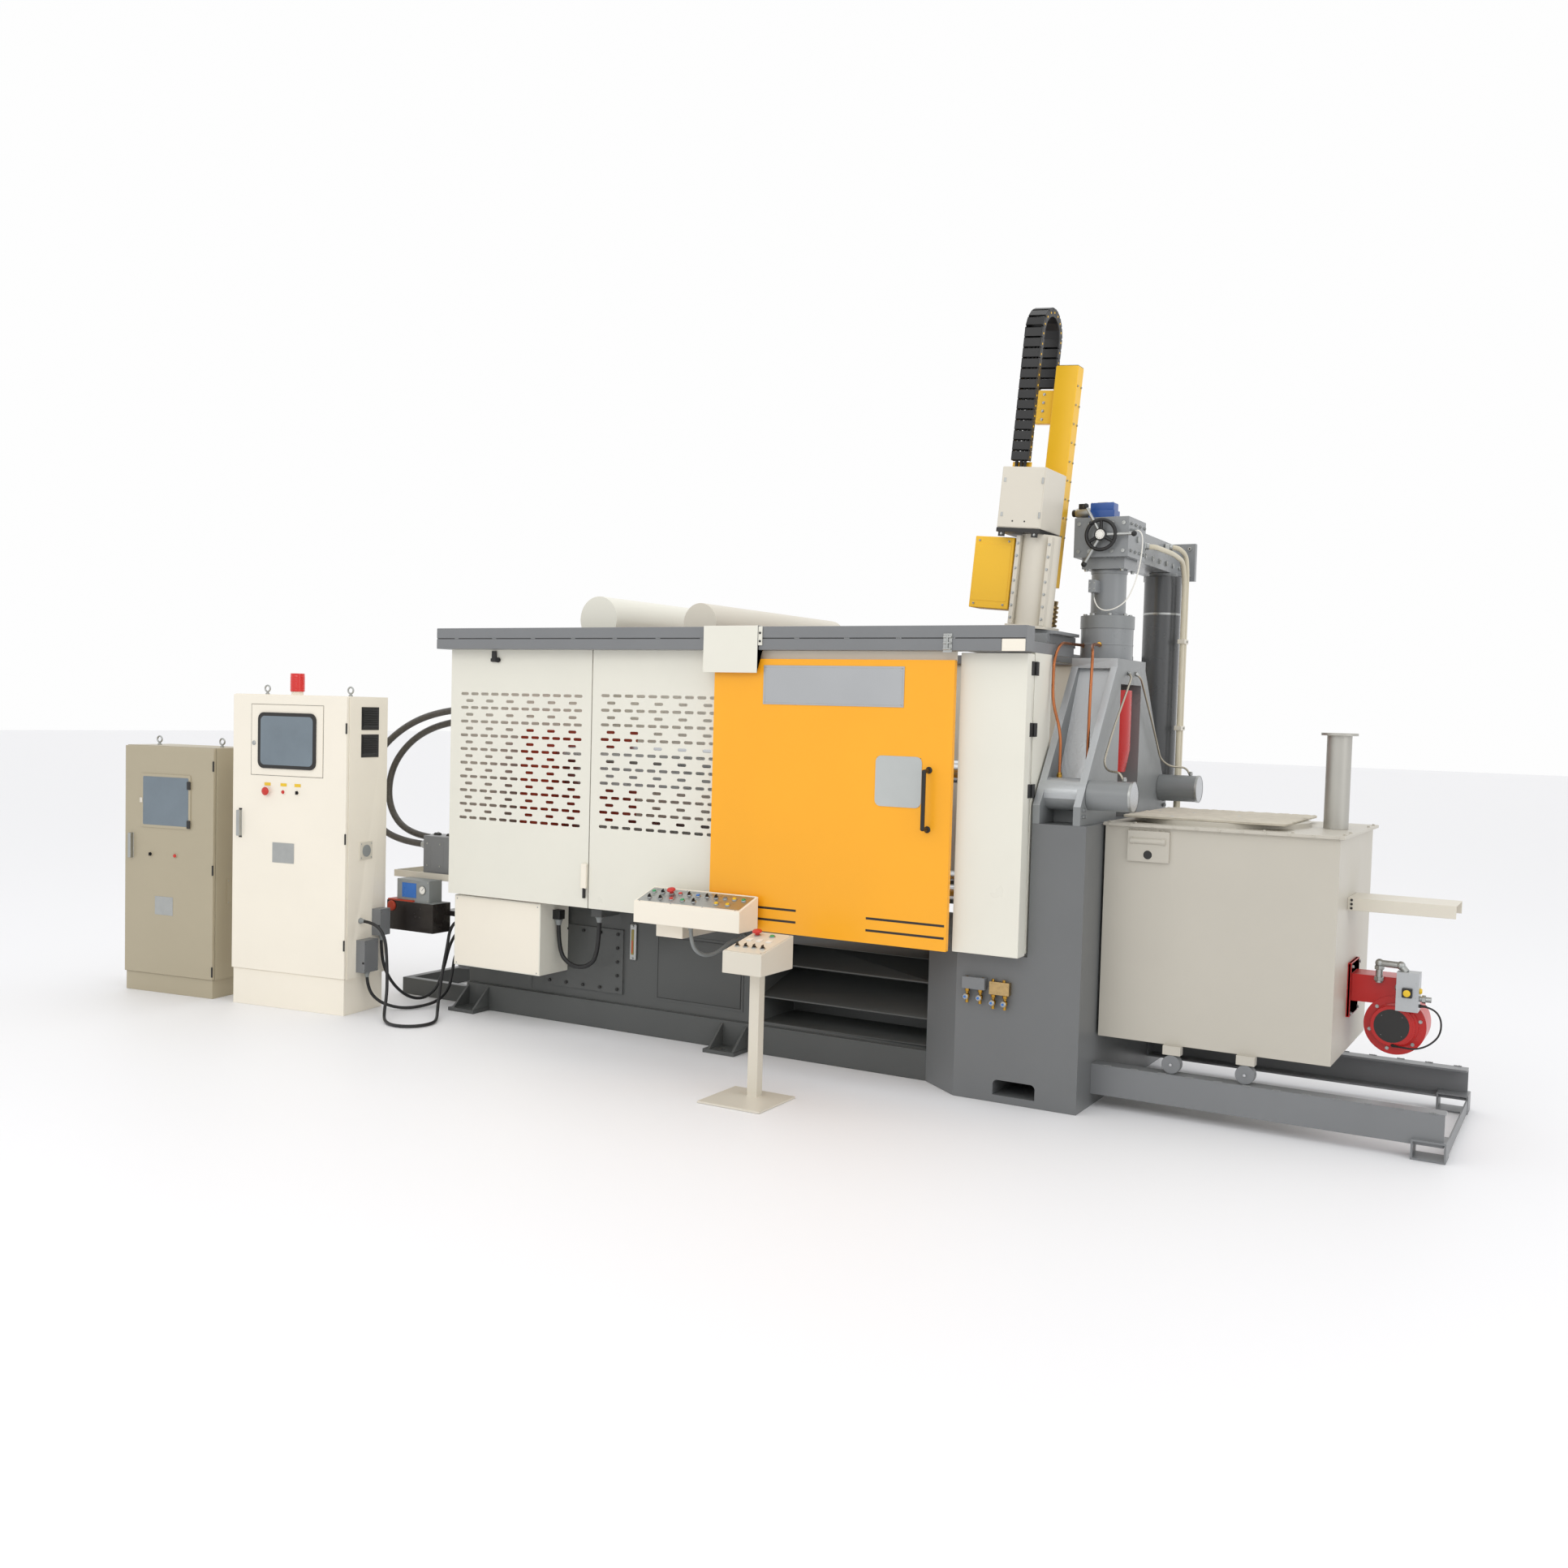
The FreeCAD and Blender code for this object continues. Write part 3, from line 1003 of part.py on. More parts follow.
def build_pipes():
    """Rigid oil, water and cooling pipes around the injection unit."""
    pipes = []
    pipes.append(tube("copper_pipe", "copper_across", [
        ("120", "-560", "boss_height + boss_radius - 3"), ("120", "-562", "1720"), ("56", "-512", "1860"),
        ("52", "-500", "2060"), ("54", "-420", "2138"), ("55", "-70", "2142")]))
    pipes.append(tube("copper_riser", "copper_across", [
        ("205", "-380", "1540"), ("208", "-440", "1560"), ("210", "-436", "1900"), ("200", "-390", "2090"),
        ("160", "-280", "2140"), ("145", "-110", "2142")]))
    steel = tube("steel_pipe", "steel_across", [
        (YOKE_RIGHT, "-60", "2015"), (f"{YOKE_RIGHT} + 24", "-78", "1990"), (f"{YOKE_RIGHT} + 24", "-340", "1735"),
        (f"{YOKE_RIGHT} + 26", "-466", "1590"), (f"{YOKE_RIGHT} + 60", "-520", "1552"),
        (f"{YOKE_RIGHT} + 135", "-566", "1548"), (f"{YOKE_RIGHT} + 158", "-570", "1500")])
    pipes += [steel, half_turn(steel)]
    face = "(manifold_left + manifold_width)"
    pipes.append(tube("cream_pipe", "cream_across", [
        (face, "140", "2640"), (f"{face} + 62", "160", "2638"), (f"{face} + 84", "420", "2630"),
        ("335", "600", "2610"), ("335", "648", "2520"), ("335", "650", "1250")]))
    pipes.append(tube("cream_riser", "cream_across", [
        (face, "560", "2680"), (f"{face} + 60", "580", "2680"), ("335", "660", "2650"), ("335", "692", "2560"),
        ("335", "690", "1250")]))
    node(group("pipework", *pipes))


def build_cords():
    """Hoses and cables, each in a node of its own, as points chosen by hand."""
    left = HOUSING_LEFT
    node(tube("upper_hose", "hose_across", [
        (left, "-500", "1750"), (f"{left} - 247", "-500", "1750"), (f"{left} - 627", "-500", "1650"),
        (f"{left} - 917", "-500", "1420"), (f"{left} - 957", "-500", "1120"), (f"{left} - 737", "-500", "930"),
        (f"{left} - valve_reach", "-500", "930")]))
    node(tube("lower_hose", "hose_across", [
        (left, "-430", "1690"), (f"{left} - 227", "-430", "1690"), (f"{left} - 587", "-430", "1600"),
        (f"{left} - 817", "-430", "1390"), (f"{left} - 842", "-430", "1130"), (f"{left} - 657", "-430", "965"),
        (f"{left} - valve_reach", "-430", "965")]))
    node(tube("box_conduit", "conduit_across", [
        (f"{left} + 661", "-630", "600"), (f"{left} + 661", "-630", "430"), (f"{left} + 741", "-630", "350"),
        (f"{left} + 861", "-630", "350"), (f"{left} + 941", "-630", "430"), (f"{left} + 941", "-630", "640")]))
    node(tube("desk_conduit", "desk_conduit_across", [
        ("-1640", "-930", "desk_bottom"), ("-1640", "-930", "610"), ("-1620", "-860", "540"),
        ("-1600", "-740", "540"), ("-1590", "-620", "595"), ("-1590", f"-{WALL_HALF}", "595")]))
    node(tube("front_cable", "cable_across", [
        ("-3831.3", "-1018.7", "527"), ("-3732", "-1005.9", "527"), ("-3655", "-996", "455"),
        ("-3642", "-993", "300"), ("-3626", "-1005", "140"), ("-3580", "-1075", "30"), ("-3500", "-1145", "10"),
        ("-3390", "-1185", "10"), ("-3290", "-1130", "10"), ("-3270", "-1020", "10"), ("-3325", "-925", "10"),
        ("-3400", "-840", "40"), ("-3465", "-755", "130"), ("-3500", "-690", "260"), ("-3510", "-648", "370"),
        ("-3500", "-640", "470"), ("-3441", "-640", "530"), ("-box_left", "-640", "530")]))
    node(tube("middle_cable", "cable_across", [
        ("-3805.5", "-985.1", "236"), ("-3805.5", "-985.1", "150"), ("-3775", "-935", "60"),
        ("-3700", "-840", "12"), ("-3640", "-730", "10"), ("-3605", "-615", "30"), ("-3608", "-520", "90"),
        ("-3622", "-478", "190"), ("-3614", "-470", "284"), ("-3555", "-470", "345"), (BED_LEFT, "-470", "345")]))
    node(tube("back_cable", "cable_across", [
        ("-3821.5", "-861.1", "432"), ("-3821.5", "-861.1", "290"), ("-3805", "-800", "150"),
        ("-3775", "-700", "50"), ("-3745", "-590", "20"), ("-3715", "-505", "80"), ("-3690", "-474", "210"),
        ("-3650", "-470", "360"), ("-3570", "-470", "450"), (BED_LEFT, "-470", "450")]))
    fan = f"({FURNACE_RIGHT} + fan_offset + 100)"
    node(tube("burner_lead", "lead_across", [
        (fan, "-140", "575"), (f"{fan} + 50", "-140", "575"), (f"{fan} + 92", "-142", "533"),
        (f"{fan} + 92", "-148", "460"), (f"{fan} + 50", "-155", "410"), (f"{fan} - 5", "-158", "385"),
        (f"{fan} - 62", "-150", "385"), (f"{fan} - 105", "-128", "385")]))
    right = f"({BLOCK_LEFT} + block_length)"
    node(tube("sensor_lead", "sensor_across", [
        (right, "-115", "2690"), (f"{right} + 34", "-117", "2690"), (f"{right} + 58", "-120", "2668"),
        (f"{right} + 62", "-123", "2610"), (f"{right} + 54", "-127", "2520"), (f"{right} + 34", "-132", "2430"),
        (f"{right} - 2", "-135", "2350"), (f"{right} - 60", "-137", "2312"), (f"{right} - 118", "-137", "2305"),
        (f"{right} - 160", "-132", "2340"), ("drum_x - 37", "-125", "sensor_bottom")]))


def build_cabinet(word, tag):
    """A sheet-steel cabinet with its door and handle, drawn from its front left corner."""
    wide = f"{tag}_width"
    high = f"{tag}_height"
    plinth_high = f"{tag}_plinth"
    plinth = box(f"{word}_plinth_block", "10", "10", "0", f"{wide} - 20", "cabinet_depth - 20",
                 f"{plinth_high} + 1")
    shell = box(f"{word}_shell", "0", "cabinet_door", plinth_high, wide, "cabinet_depth - cabinet_door",
                f"{high} - {plinth_high}")
    hollow = box(f"{word}_hollow", "cabinet_wall", "cabinet_door - 1", f"{plinth_high} + cabinet_wall",
                 f"{wide} - 2 * cabinet_wall", "cabinet_depth - cabinet_door - cabinet_wall + 1",
                 f"{high} - {plinth_high} - 2 * cabinet_wall")
    slab = box(f"{word}_door_slab", "3", "0", f"{plinth_high} + 3", f"{wide} - 6",
               "cabinet_door - slack", f"{high} - {plinth_high} - 6")
    handle = box(f"{word}_door_handle", f"{tag}_handle_x - 11", "-26", f"{tag}_handle_z", "22", "27", "150")
    outside = [plinth, shell]
    if word == "tall":
        outside += [
            box("low_connector", f"{wide} - 1", "100", "236", "61", "120", "184"),
            box("high_connector", f"{wide} - 1", "236", "432", "61", "90", "153"),
            rod("beacon_stem", "Z", f"{wide} * 0.37", "190", f"{high} - 1", "34", "22"),
            rod("beacon", "Z", f"{wide} * 0.37", "190", f"{high} + 20", "40", "105"),
        ]
    pieces = {
        "body": less(f"{word}_body_cut", join(f"{word}_outside", *outside), hollow),
        "door": join(f"{word}_door_parts", slab, handle),
    }
    for key, piece in pieces.items():
        holder = doc.addObject("Part::Compound", f"{word}_cabinet_{key}")
        holder.Links = [piece]
        holder.Placement.Rotation = FreeCAD.Rotation(FreeCAD.Vector(0, 0, 1), size("cabinet_turn"))
        node(turned(holder, f"{tag}_x", f"{tag}_y"))


build_bed()
build_left_end()
build_guards()
build_toggle()
build_desk()
build_injection()
build_sprayer()
build_furnace()
build_cabinet("small", "small")
build_cabinet("tall", "tall")
build_pipes()
build_cords()
doc.recompute()

faults = []
for item in doc.Objects:
    if "Invalid" in item.State or "Error" in item.State:
        faults.append(f"{item.Label}: {item.State}")
for item in nodes:
    if item.Shape.isNull() or not item.Shape.isValid():
        faults.append(f"{item.Label}: shape not valid")
if faults:
    raise RuntimeError("\n".join(faults))

os.makedirs("parts", exist_ok=True)
for item in nodes:
    item.Shape.exportStep(f"parts/{item.Label}.step")
    print(f"{item.Label:24s} solids {len(item.Shape.Solids):2d}  volume {item.Shape.Volume / 1e9:.5f} m3")
print(len(nodes), "nodes")
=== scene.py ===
# %% [markdown]
# # Hot-chamber die casting machine
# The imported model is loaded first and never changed. Everything below is finish: soft edges, slots,
# bolts, buttons, pipes, hoses and surfaces, each hung on the body that the model says it moves with.

# %% load the fixed frame
import math
import random

import bmesh
import bpy
from mathutils import Matrix, Vector


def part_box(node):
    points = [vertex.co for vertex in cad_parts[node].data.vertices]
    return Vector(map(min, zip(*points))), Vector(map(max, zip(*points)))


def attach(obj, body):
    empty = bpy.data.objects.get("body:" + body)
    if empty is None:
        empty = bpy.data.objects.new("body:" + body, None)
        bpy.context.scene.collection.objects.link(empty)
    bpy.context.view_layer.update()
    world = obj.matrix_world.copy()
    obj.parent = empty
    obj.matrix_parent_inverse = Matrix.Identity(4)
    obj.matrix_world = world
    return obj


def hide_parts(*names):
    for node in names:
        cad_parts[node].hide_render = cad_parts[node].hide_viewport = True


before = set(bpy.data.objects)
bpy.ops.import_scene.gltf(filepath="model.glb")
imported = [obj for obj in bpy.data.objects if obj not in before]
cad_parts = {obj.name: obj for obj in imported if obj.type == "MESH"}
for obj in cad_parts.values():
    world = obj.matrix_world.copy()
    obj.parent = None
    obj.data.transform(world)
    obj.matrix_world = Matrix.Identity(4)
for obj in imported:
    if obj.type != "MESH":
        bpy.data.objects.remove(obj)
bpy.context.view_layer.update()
random.seed(7)

# %% [markdown]
# ## Camera
# A standing person's eye, a little above the control buttons, looks at the machine from the furnace
# side of its front. A real camera has a heading, a small tilt and a small roll, so the three are kept
# as named angles and turned into one matrix, which is easier to check than a constraint.

# %% camera
IMAGE = 1932
camera_place = Vector((2.396, -7.061, 1.786))
heading = math.radians(29.869)
tilt = math.radians(-2.847)
roll = math.radians(1.543)
focal_pixels = 1817.85
forward = Vector((-math.sin(heading) * math.cos(tilt), math.cos(heading) * math.cos(tilt), math.sin(tilt)))
level = Vector((math.cos(heading), math.sin(heading), 0))
upright = level.cross(forward)
right = level * math.cos(roll) + upright * math.sin(roll)
up = upright * math.cos(roll) - level * math.sin(roll)
lens = bpy.data.cameras.new("operator_view")
lens.sensor_width = 36
lens.lens = focal_pixels / IMAGE * lens.sensor_width
viewer = bpy.data.objects.new("operator_view", lens)
viewer.matrix_world = Matrix.Translation(camera_place) @ Matrix((right, up, -forward)).transposed().to_4x4()
bpy.context.collection.objects.link(viewer)
bpy.context.scene.camera = viewer
print("lens", round(lens.lens, 2), "mm")

# %% [markdown]
# ## Cords
# Hoses and cables are one smooth curve each, through the same listed points as their plain solids.
# A NURBS curve of order 3 hugs such points without kinks. The order and the end points are set after
# the points are added, because Blender caps the order by the number of points that are there.

# %% one cord from its points in millimetres
MM = 0.001


def metres(*point):
    return Vector(point) * MM


def lay_cord(node, across, points, body="machine", stiffness="medium", lay="loose", length=1.0, ends=()):
    """Draw a cord through its points, let it stand for its node and keep its facts in a list."""
    curve = bpy.data.curves.new(f"{node}_line", "CURVE")
    curve.dimensions = "3D"
    curve.bevel_depth = 1
    curve.bevel_resolution = 5
    curve.resolution_u = 10
    curve.use_fill_caps = True
    spline = curve.splines.new("NURBS")
    spline.points.add(len(points) - 1)
    for slot, point in zip(spline.points, points):
        slot.co = (*metres(*point), 1)
    for knot in spline.points:
        knot.radius = across * MM / 2
    spline.order_u = 3
    spline.use_endpoint_u = True
    line = bpy.data.objects.new(f"{node}_line", curve)
    bpy.context.collection.objects.link(line)
    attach(line, body)
    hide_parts(node)
    cords[node] = line
    cord_facts.append((line, dict(exit=tuple(metres(*points[0])), length=length, diameter=across * MM,
                                  far_end="object", stiffness=stiffness, lay=lay), ends))
    print(node, "points", len(points), "length", length)
    return line


cords = {}
cord_facts = []

# %% oil hoses from the guards to the valve stack
HOUSING_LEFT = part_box("first_door")[0][0] / MM
lay_cord("upper_hose", 40, [
    (HOUSING_LEFT, -500, 1750), (-3620, -500, 1750), (-4000, -500, 1650), (-4290, -500, 1420),
    (-4330, -500, 1120), (-4110, -500, 930), (-3790, -500, 930)], lay="hanging", length=1.871)
lay_cord("lower_hose", 40, [
    (HOUSING_LEFT, -430, 1690), (-3600, -430, 1690), (-3960, -430, 1600), (-4190, -430, 1390),
    (-4215, -430, 1130), (-4030, -430, 965), (-3790, -430, 965)], lay="hanging", length=1.615)

# %% conduits under the guards and the desk
lay_cord("box_conduit", 24, [
    (-2712, -630, 600), (-2712, -630, 430), (-2632, -630, 350), (-2512, -630, 350), (-2432, -630, 430),
    (-2432, -630, 640)], lay="hanging", length=0.705)
lay_cord("desk_conduit", 20, [
    (-1640, -930, 709), (-1640, -930, 610), (-1620, -860, 540), (-1600, -740, 540), (-1590, -620, 595),
    (-1590, -500, 595)], lay="hanging", length=0.561)

# %% cables from the tall cabinet to the machine
lay_cord("front_cable", 18, [
    (-3831.3, -1018.7, 527), (-3732, -1005.9, 527), (-3655, -996, 455), (-3642, -993, 300),
    (-3626, -1005, 140), (-3580, -1075, 30), (-3500, -1145, 10), (-3390, -1185, 10), (-3290, -1130, 10),
    (-3270, -1020, 10), (-3325, -925, 10), (-3400, -840, 40), (-3465, -755, 130), (-3500, -690, 260),
    (-3510, -648, 370), (-3500, -640, 470), (-3441, -640, 530), (-3356, -640, 530)], length=1.970)
lay_cord("middle_cable", 18, [
    (-3805.5, -985.1, 236), (-3805.5, -985.1, 150), (-3775, -935, 60), (-3700, -840, 12),
    (-3640, -730, 10), (-3605, -615, 30), (-3608, -520, 90), (-3622, -478, 190), (-3614, -470, 284),
    (-3555, -470, 345), (-3470, -470, 345)], length=1.036)
lay_cord("back_cable", 18, [
    (-3821.5, -861.1, 432), (-3821.5, -861.1, 290), (-3805, -800, 150), (-3775, -700, 50),
    (-3745, -590, 20), (-3715, -505, 80), (-3690, -474, 210), (-3650, -470, 360), (-3570, -470, 450),
    (-3470, -470, 450)], length=1.154)

# %% small leads on the burner and the injection cylinder
lay_cord("burner_lead", 8, [
    (1642, -140, 575), (1692, -140, 575), (1734, -142, 533), (1734, -148, 460), (1692, -155, 410),
    (1637, -158, 385), (1580, -150, 385), (1537, -128, 385)], body="furnace", stiffness="limp",
    length=0.405)
lay_cord("sensor_lead", 6, [
    (274, -115, 2690), (308, -117, 2690), (332, -120, 2668), (336, -123, 2610), (328, -127, 2520),
    (308, -132, 2430), (272, -135, 2350), (214, -137, 2312), (156, -137, 2305), (114, -132, 2340),
    (103, -125, 2395)], stiffness="limp", lay="hanging", length=0.624)

# %% [markdown]
# ## Floor and light
# A pale floor takes soft shadows. Large area lights give broad, soft reflections on painted steel, and
# a bright even world fills the sides, as in a photo studio.

# %% colours and one node-adding function


def linear(code):
    """Turn an sRGB hex code into the linear colour that a shader works with."""
    parts = [int(code[start:start + 2], 16) / 255 for start in (1, 3, 5)]
    return (*[part / 12.92 if part <= 0.04045 else ((part + 0.055) / 1.055)**2.4 for part in parts], 1)


def add(tree, kind, sockets=None, **settings):
    """Add one node with its settings, and set or link each of its sockets."""
    made = tree.nodes.new(kind)
    for name, value in settings.items():
        setattr(made, name, value)
    for name, value in (sockets or {}).items():
        if isinstance(value, bpy.types.NodeSocket):
            tree.links.new(value, made.inputs[name])
        else:
            made.inputs[name].default_value = value
    return made


# %% floor
floor_mesh = bmesh.new()
bmesh.ops.create_grid(floor_mesh, x_segments=1, y_segments=1, size=60)
floor_data = bpy.data.meshes.new("studio_floor")
floor_mesh.to_mesh(floor_data)
floor_mesh.free()
floor = bpy.data.objects.new("studio_floor", floor_data)
floor.location.z = -0.0005
bpy.context.collection.objects.link(floor)
pale = bpy.data.materials.new("pale_vinyl_floor")
pale.use_nodes = True
pale.node_tree.nodes["Principled BSDF"].inputs["Base Color"].default_value = linear("#F2F2F4")
pale.node_tree.nodes["Principled BSDF"].inputs["Roughness"].default_value = 0.55
floor_data.materials.append(pale)

# %% lights


def soft_box(name, place, aim, power, wide, high, warmth=(1, 1, 1)):
    """Hang one large area light that faces a point on the machine."""
    light = bpy.data.lights.new(name, "AREA")
    light.shape = "RECTANGLE"
    light.size = wide
    light.size_y = high
    light.energy = power
    light.color = warmth
    lamp = bpy.data.objects.new(name, light)
    facing = (Vector(aim) - Vector(place)).to_track_quat("-Z", "Y")
    lamp.matrix_world = Matrix.Translation(place) @ facing.to_matrix().to_4x4()
    bpy.context.collection.objects.link(lamp)
    return lamp


soft_box("key_light", (-1.0, -7.5, 5.5), (-1.5, 0, 1.0), 80, 6.0, 3.0, (1, 0.985, 0.96))
soft_box("side_light", (7.5, -3.0, 3.6), (0.5, 0, 1.2), 50, 4.0, 4.0)
soft_box("top_light", (-1.5, 0.5, 7.5), (-1.5, 0, 0), 70, 9.0, 4.0)
world = bpy.data.worlds.new("studio")
world.use_nodes = True
world.node_tree.nodes["Background"].inputs["Color"].default_value = (1, 1, 1, 1)
world.node_tree.nodes["Background"].inputs["Strength"].default_value = 0.99
bpy.context.scene.world = world
bpy.context.scene.view_settings.view_transform = "Standard"
bpy.context.scene.view_settings.look = "None"
print("lights", 3)

# %% [markdown]
# ## Surfaces
# Each finish starts from the real thing: powder coat has a fine orange peel and hides brush marks,
# brushed steel is streaked along one way, a casting keeps the sand's grain under its paint. All of them
# share one build: a slow noise that shifts the colour, a second one that shifts the gloss, and a fine
# one that only lifts the surface. Scales are worked out from sizes in millimetres.

# %% one finish


def coat(name, code, rough, metal=0.0, shade=0.10, patch_mm=420, spread=0.07, grain_mm=3.0, grain_deep=0.04,
         stretch=(1, 1, 1), clear=0.0, ior=1.5, glow=0.0, through=0.0, alpha=1.0):
    """Make one finish; stretch pulls the fine grain along an axis, as a brush or a roll does."""
    look = bpy.data.materials.new(name)
    look.use_nodes = True
    look.diffuse_color = linear(code)
    tree = look.node_tree
    shader = tree.nodes["Principled BSDF"]
    place = add(tree, "ShaderNodeTexCoord")
    patches = add(tree, "ShaderNodeTexNoise", {"Vector": place.outputs["Object"], "Scale": 1000 / patch_mm,
                                               "Detail": 5.0, "Roughness": 0.55})
    tone = add(tree, "ShaderNodeMix", {0: patches.outputs["Fac"]}, data_type="RGBA")
    base = linear(code)
    tone.inputs[6].default_value = (*[part * (1 - shade) for part in base[:3]], 1)
    tone.inputs[7].default_value = (*[min(1, part * (1 + shade * 0.5)) for part in base[:3]], 1)
    tree.links.new(tone.outputs[2], shader.inputs["Base Color"])
    pulled = add(tree, "ShaderNodeMapping", {"Vector": place.outputs["Object"], "Scale": stretch})
    grain = add(tree, "ShaderNodeTexNoise", {"Vector": pulled.outputs["Vector"], "Scale": 1000 / grain_mm,
                                             "Detail": 3.0})
    gloss = add(tree, "ShaderNodeMapRange", {"Value": patches.outputs["Fac"], "From Min": 0.3,
                                             "From Max": 0.7,
                                             "To Min": max(0.02, rough - spread),
                                             "To Max": min(1.0, rough + spread)})
    tree.links.new(gloss.outputs["Result"], shader.inputs["Roughness"])
    relief = add(tree, "ShaderNodeBump", {"Height": grain.outputs["Fac"], "Strength": 0.6,
                                          "Distance": grain_deep * MM})
    tree.links.new(relief.outputs["Normal"], shader.inputs["Normal"])
    shader.inputs["Metallic"].default_value = metal
    shader.inputs["Coat Weight"].default_value = clear
    if metal < 0.5:
        shader.inputs["IOR"].default_value = ior
    shader.inputs["Transmission Weight"].default_value = through
    shader.inputs["Alpha"].default_value = alpha
    if glow:
        shader.inputs["Emission Color"].default_value = base
        shader.inputs["Emission Strength"].default_value = glow
    return look


# %% paints and powder coats
# Powder coat is sprayed dry and baked: even colour, satin, a fine orange peel.
white_coat = coat("white_powder_coat", "#E6E4D8", 0.34, shade=0.05, grain_mm=2.5, grain_deep=0.03)
cream_coat = coat("cream_powder_coat", "#F3ECDD", 0.36, shade=0.05, grain_mm=2.5, grain_deep=0.03)
light_coat = coat("light_grey_powder_coat", "#D9D3C5", 0.38, shade=0.05, grain_mm=2.0, grain_deep=0.04)
beige_coat = coat("beige_powder_coat", "#B0A68E", 0.40, shade=0.06, grain_mm=2.0, grain_deep=0.04)
yellow_coat = coat("signal_yellow_coat", "#FBAE1C", 0.36, shade=0.06, grain_mm=2.5, grain_deep=0.03)
# Machine enamel is brushed and rolled on thick plate, so it is uneven in gloss and shows weld spatter.
column_enamel = coat("grey_machine_enamel", "#6E7071", 0.36, shade=0.14, patch_mm=520, spread=0.10,
                     grain_mm=6, grain_deep=0.10)
bed_enamel = coat("dark_machine_enamel", "#525453", 0.42, shade=0.16, patch_mm=480, spread=0.10,
                  grain_mm=6, grain_deep=0.10)
rail_enamel = coat("mid_grey_enamel", "#7C7E80", 0.38, shade=0.12, grain_mm=5, grain_deep=0.08)
cylinder_enamel = coat("cylinder_enamel", "#8A8D8F", 0.30, shade=0.10, grain_mm=8, grain_deep=0.05)
dark_enamel = coat("dark_bottle_enamel", "#56585A", 0.26, shade=0.14, grain_mm=8, grain_deep=0.05)
furnace_coat = coat("furnace_enamel", "#C2BDB1", 0.42, shade=0.06, grain_mm=4, grain_deep=0.06)
red_coat = coat("red_enamel", "#C1130F", 0.30, shade=0.12, grain_mm=3, grain_deep=0.03)
robot_yellow = coat("robot_yellow_coat", "#F5C022", 0.36, shade=0.06, grain_mm=2.5, grain_deep=0.03)
orange_coat = coat("red_oxide_paint", "#B33A1C", 0.45, shade=0.15)
blue_coat = coat("blue_enamel", "#24539E", 0.30, shade=0.08)
black_coat = coat("black_enamel", "#232221", 0.38, shade=0.10)

# %% castings and bare metals
# A sand casting keeps the mould's grain under its paint; the grain is drawn coarse enough to show.
cast_paint = coat("painted_sand_casting", "#86898A", 0.36, shade=0.14, spread=0.12, grain_mm=14,
                  grain_deep=0.9)
# On the yoke's right-hand ribs this light aluminium is a painted highlight; elsewhere it is the part's own
# colour.
silver_cast_and_highlight = coat("aluminium_paint_and_painted_highlight", "#B9BCBE", 0.38, metal=0.55, shade=0.14, spread=0.12,
                   grain_mm=11, grain_deep=1.6)
# Mill-rolled and brushed metals are streaked along the way they were worked.
brushed = coat("brushed_stainless_steel", "#B9BBBD", 0.34, metal=1.0, shade=0.08, grain_mm=1.2,
               grain_deep=0.03, stretch=(0.02, 1, 1))
bright = coat("turned_bright_steel", "#BFC1C3", 0.24, metal=1.0, shade=0.08, grain_mm=1.0, grain_deep=0.02)
zinc = coat("zinc_plated_steel", "#B4B6B4", 0.38, metal=1.0, shade=0.18, patch_mm=40, grain_mm=2)
flue_steel = coat("dull_aluminium_paint", "#B9B7B0", 0.44, metal=0.75, shade=0.10, patch_mm=160, grain_mm=2,
                  grain_deep=0.05, stretch=(1, 1, 0.15))
weld = coat("painted_weld_bead", "#8C8E8E", 0.42, shade=0.25, patch_mm=14, grain_mm=5, grain_deep=0.8)
brass = coat("machined_brass", "#B98F3E", 0.28, metal=1.0, shade=0.15, patch_mm=30)
copper = coat("drawn_copper_tube", "#B4714A", 0.30, metal=1.0, shade=0.18, patch_mm=90, grain_mm=4)
cream_tube = coat("cream_painted_tube", "#CFC7B1", 0.35, shade=0.10, patch_mm=90)
steel_tube = coat("drawn_steel_tube", "#B3AC9D", 0.30, metal=0.9, shade=0.16, patch_mm=90)
bronze = coat("ribbed_bronze_head", "#C2A676", 0.30, metal=1.0, shade=0.45, patch_mm=26, grain_mm=6,
              grain_deep=0.3)

# %% plastics, rubber and glass
# Moulded parts are even; rubber is dull because its skin is finely porous.
black_plastic = coat("black_moulded_nylon", "#1B1B1C", 0.42, shade=0.08, grain_mm=1.5)
grey_plastic = coat("grey_moulded_case", "#8E9292", 0.45, shade=0.06)
white_plastic = coat("white_moulded_abs", "#ECEAE2", 0.35, shade=0.04)
rubber = coat("black_rubber_sheath", "#19191A", 0.62, shade=0.20, patch_mm=60, grain_mm=1.5,
              grain_deep=0.08)
braid = coat("galvanised_spiral_guard", "#5F5C58", 0.40, metal=0.6, shade=0.5, patch_mm=18, grain_mm=4,
             grain_deep=0.5)
window_sheet = coat("grey_acrylic_sheet", "#B9BDBC", 0.12, shade=0.12, patch_mm=260, clear=0.4, ior=1.49)
screen_glass = coat("dark_window_glass", "#6E7C86", 0.10, shade=0.30, patch_mm=300, clear=0.6, ior=1.52)
tank_plastic = coat("smoked_tank_plastic", "#2A2624", 0.22, shade=0.20, patch_mm=120, ior=1.5)
fibre = coat("ceramic_fibre_board", "#CFC8B8", 0.85, shade=0.30, patch_mm=70, grain_mm=9, grain_deep=1.4)
gauge_white = coat("gauge_face_enamel", "#EFEDE6", 0.30, shade=0.03)
oil_sight = coat("oil_behind_sight_glass", "#8A7A1E", 0.12, shade=0.2, clear=0.5)
